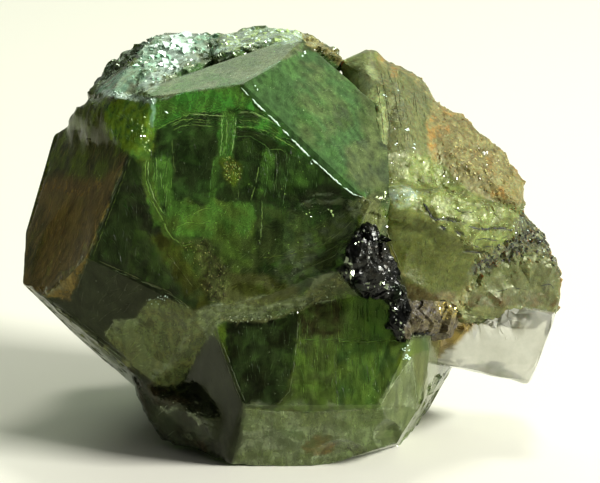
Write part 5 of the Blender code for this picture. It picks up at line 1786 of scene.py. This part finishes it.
def make_quartz(neighbours):
    """The clear to milky quartz chip."""
    places, faces = fine_mesh("quartz_chip", QUARTZ_STEPS)
    normals = vertex_normals(places, faces)
    places = places + normals * (layered(waves, places, QUARTZ_WAVES) * MM)[:, None]
    places = close_gap(places, neighbours, *QUARTZ_CLOSING)

    base = blended(places, *QUARTZ_BASE)
    paint = painted(places, normals, base, QUARTZ_ZONES, [])
    paint[:, :3] *= QUARTZ_GAIN
    material = tinted(
        "quartz_glass", 0.05, (0.02, 0.30), 0.50, relief=(0.35, 0.004), dust=(0.0, 0.1),
        IOR=1.54, Transmission_Weight=0.62,
    )
    piece = build_piece("quartz_stone", places, faces.tolist(), paint, material)
    shade(piece, 26.0)
    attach(piece, "root")
    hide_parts("quartz_chip")


def soft_light(name, towards, width, tall, brightness, colour):
    """A soft box that faces the stone, of a given brightness; sizes in metres."""
    data = bpy.data.lights.new(name, "AREA")
    data.shape = "RECTANGLE"
    data.size, data.size_y = width, tall
    data.energy = brightness * math.pi * width * tall
    data.color = colour
    lamp = add_object(name, data)
    lamp.location = STONE_MIDDLE + direction(*towards) * LIGHT_DISTANCE
    lamp.rotation_euler = (STONE_MIDDLE - lamp.location).to_track_quat("-Z", "Y").to_euler()


def make_world():
    """Surroundings: bright behind and to the right, dim in front."""
    world = bpy.data.worlds.new("surroundings")
    bpy.context.scene.world = world
    world.use_nodes = True
    tree = world.node_tree
    back = tree.nodes["Background"]
    back.inputs["Color"].default_value = SKY_COLOUR
    place = tree.nodes.new("ShaderNodeTexCoord")
    towards = tree.nodes.new("ShaderNodeVectorMath")
    towards.operation = "DOT_PRODUCT"
    towards.inputs[1].default_value = SKY_BRIGHT_SIDE
    tree.links.new(place.outputs["Generated"], towards.inputs[0])
    strength = ranged(tree, towards.outputs["Value"], *SKY_SPAN, *SKY_STRENGTH)
    tree.links.new(strength, back.inputs["Strength"])


def make_stage():
    """Floor, surroundings, lights and camera."""
    mesh = bpy.data.meshes.new("floor")
    corners = [(-FLOOR_HALF, -FLOOR_HALF, 0), (FLOOR_HALF, -FLOOR_HALF, 0),
               (FLOOR_HALF, FLOOR_HALF, 0), (-FLOOR_HALF, FLOOR_HALF, 0)]
    mesh.from_pydata(corners, [], [(0, 1, 2, 3)])
    floor = add_object("floor", mesh)
    material, _ = principled("floor_white", Base_Color=FLOOR_COLOUR, Roughness=0.8)
    mesh.materials.append(material)
    make_world()
    for light in LIGHTS:
        soft_light(*light)

    data = bpy.data.cameras.new("camera")
    data.lens, data.sensor_width = CAMERA_LENS, CAMERA_SENSOR
    data.clip_start, data.clip_end = CAMERA_CLIP
    camera = add_object("camera", data)
    camera.location = EYE
    camera.rotation_euler = (math.radians(90.0) - VIEW_LIFT, 0.0, 0.0)
    bpy.context.scene.camera = camera
    bpy.context.scene.view_settings.view_transform = "Standard"


def main():
    """Builds the looks of the specimen."""
    make_stage()
    garnet = make_garnet()
    matrix = make_matrix([garnet])
    seam = make_seam([garnet, matrix])
    make_quartz([garnet, matrix, seam])


main()
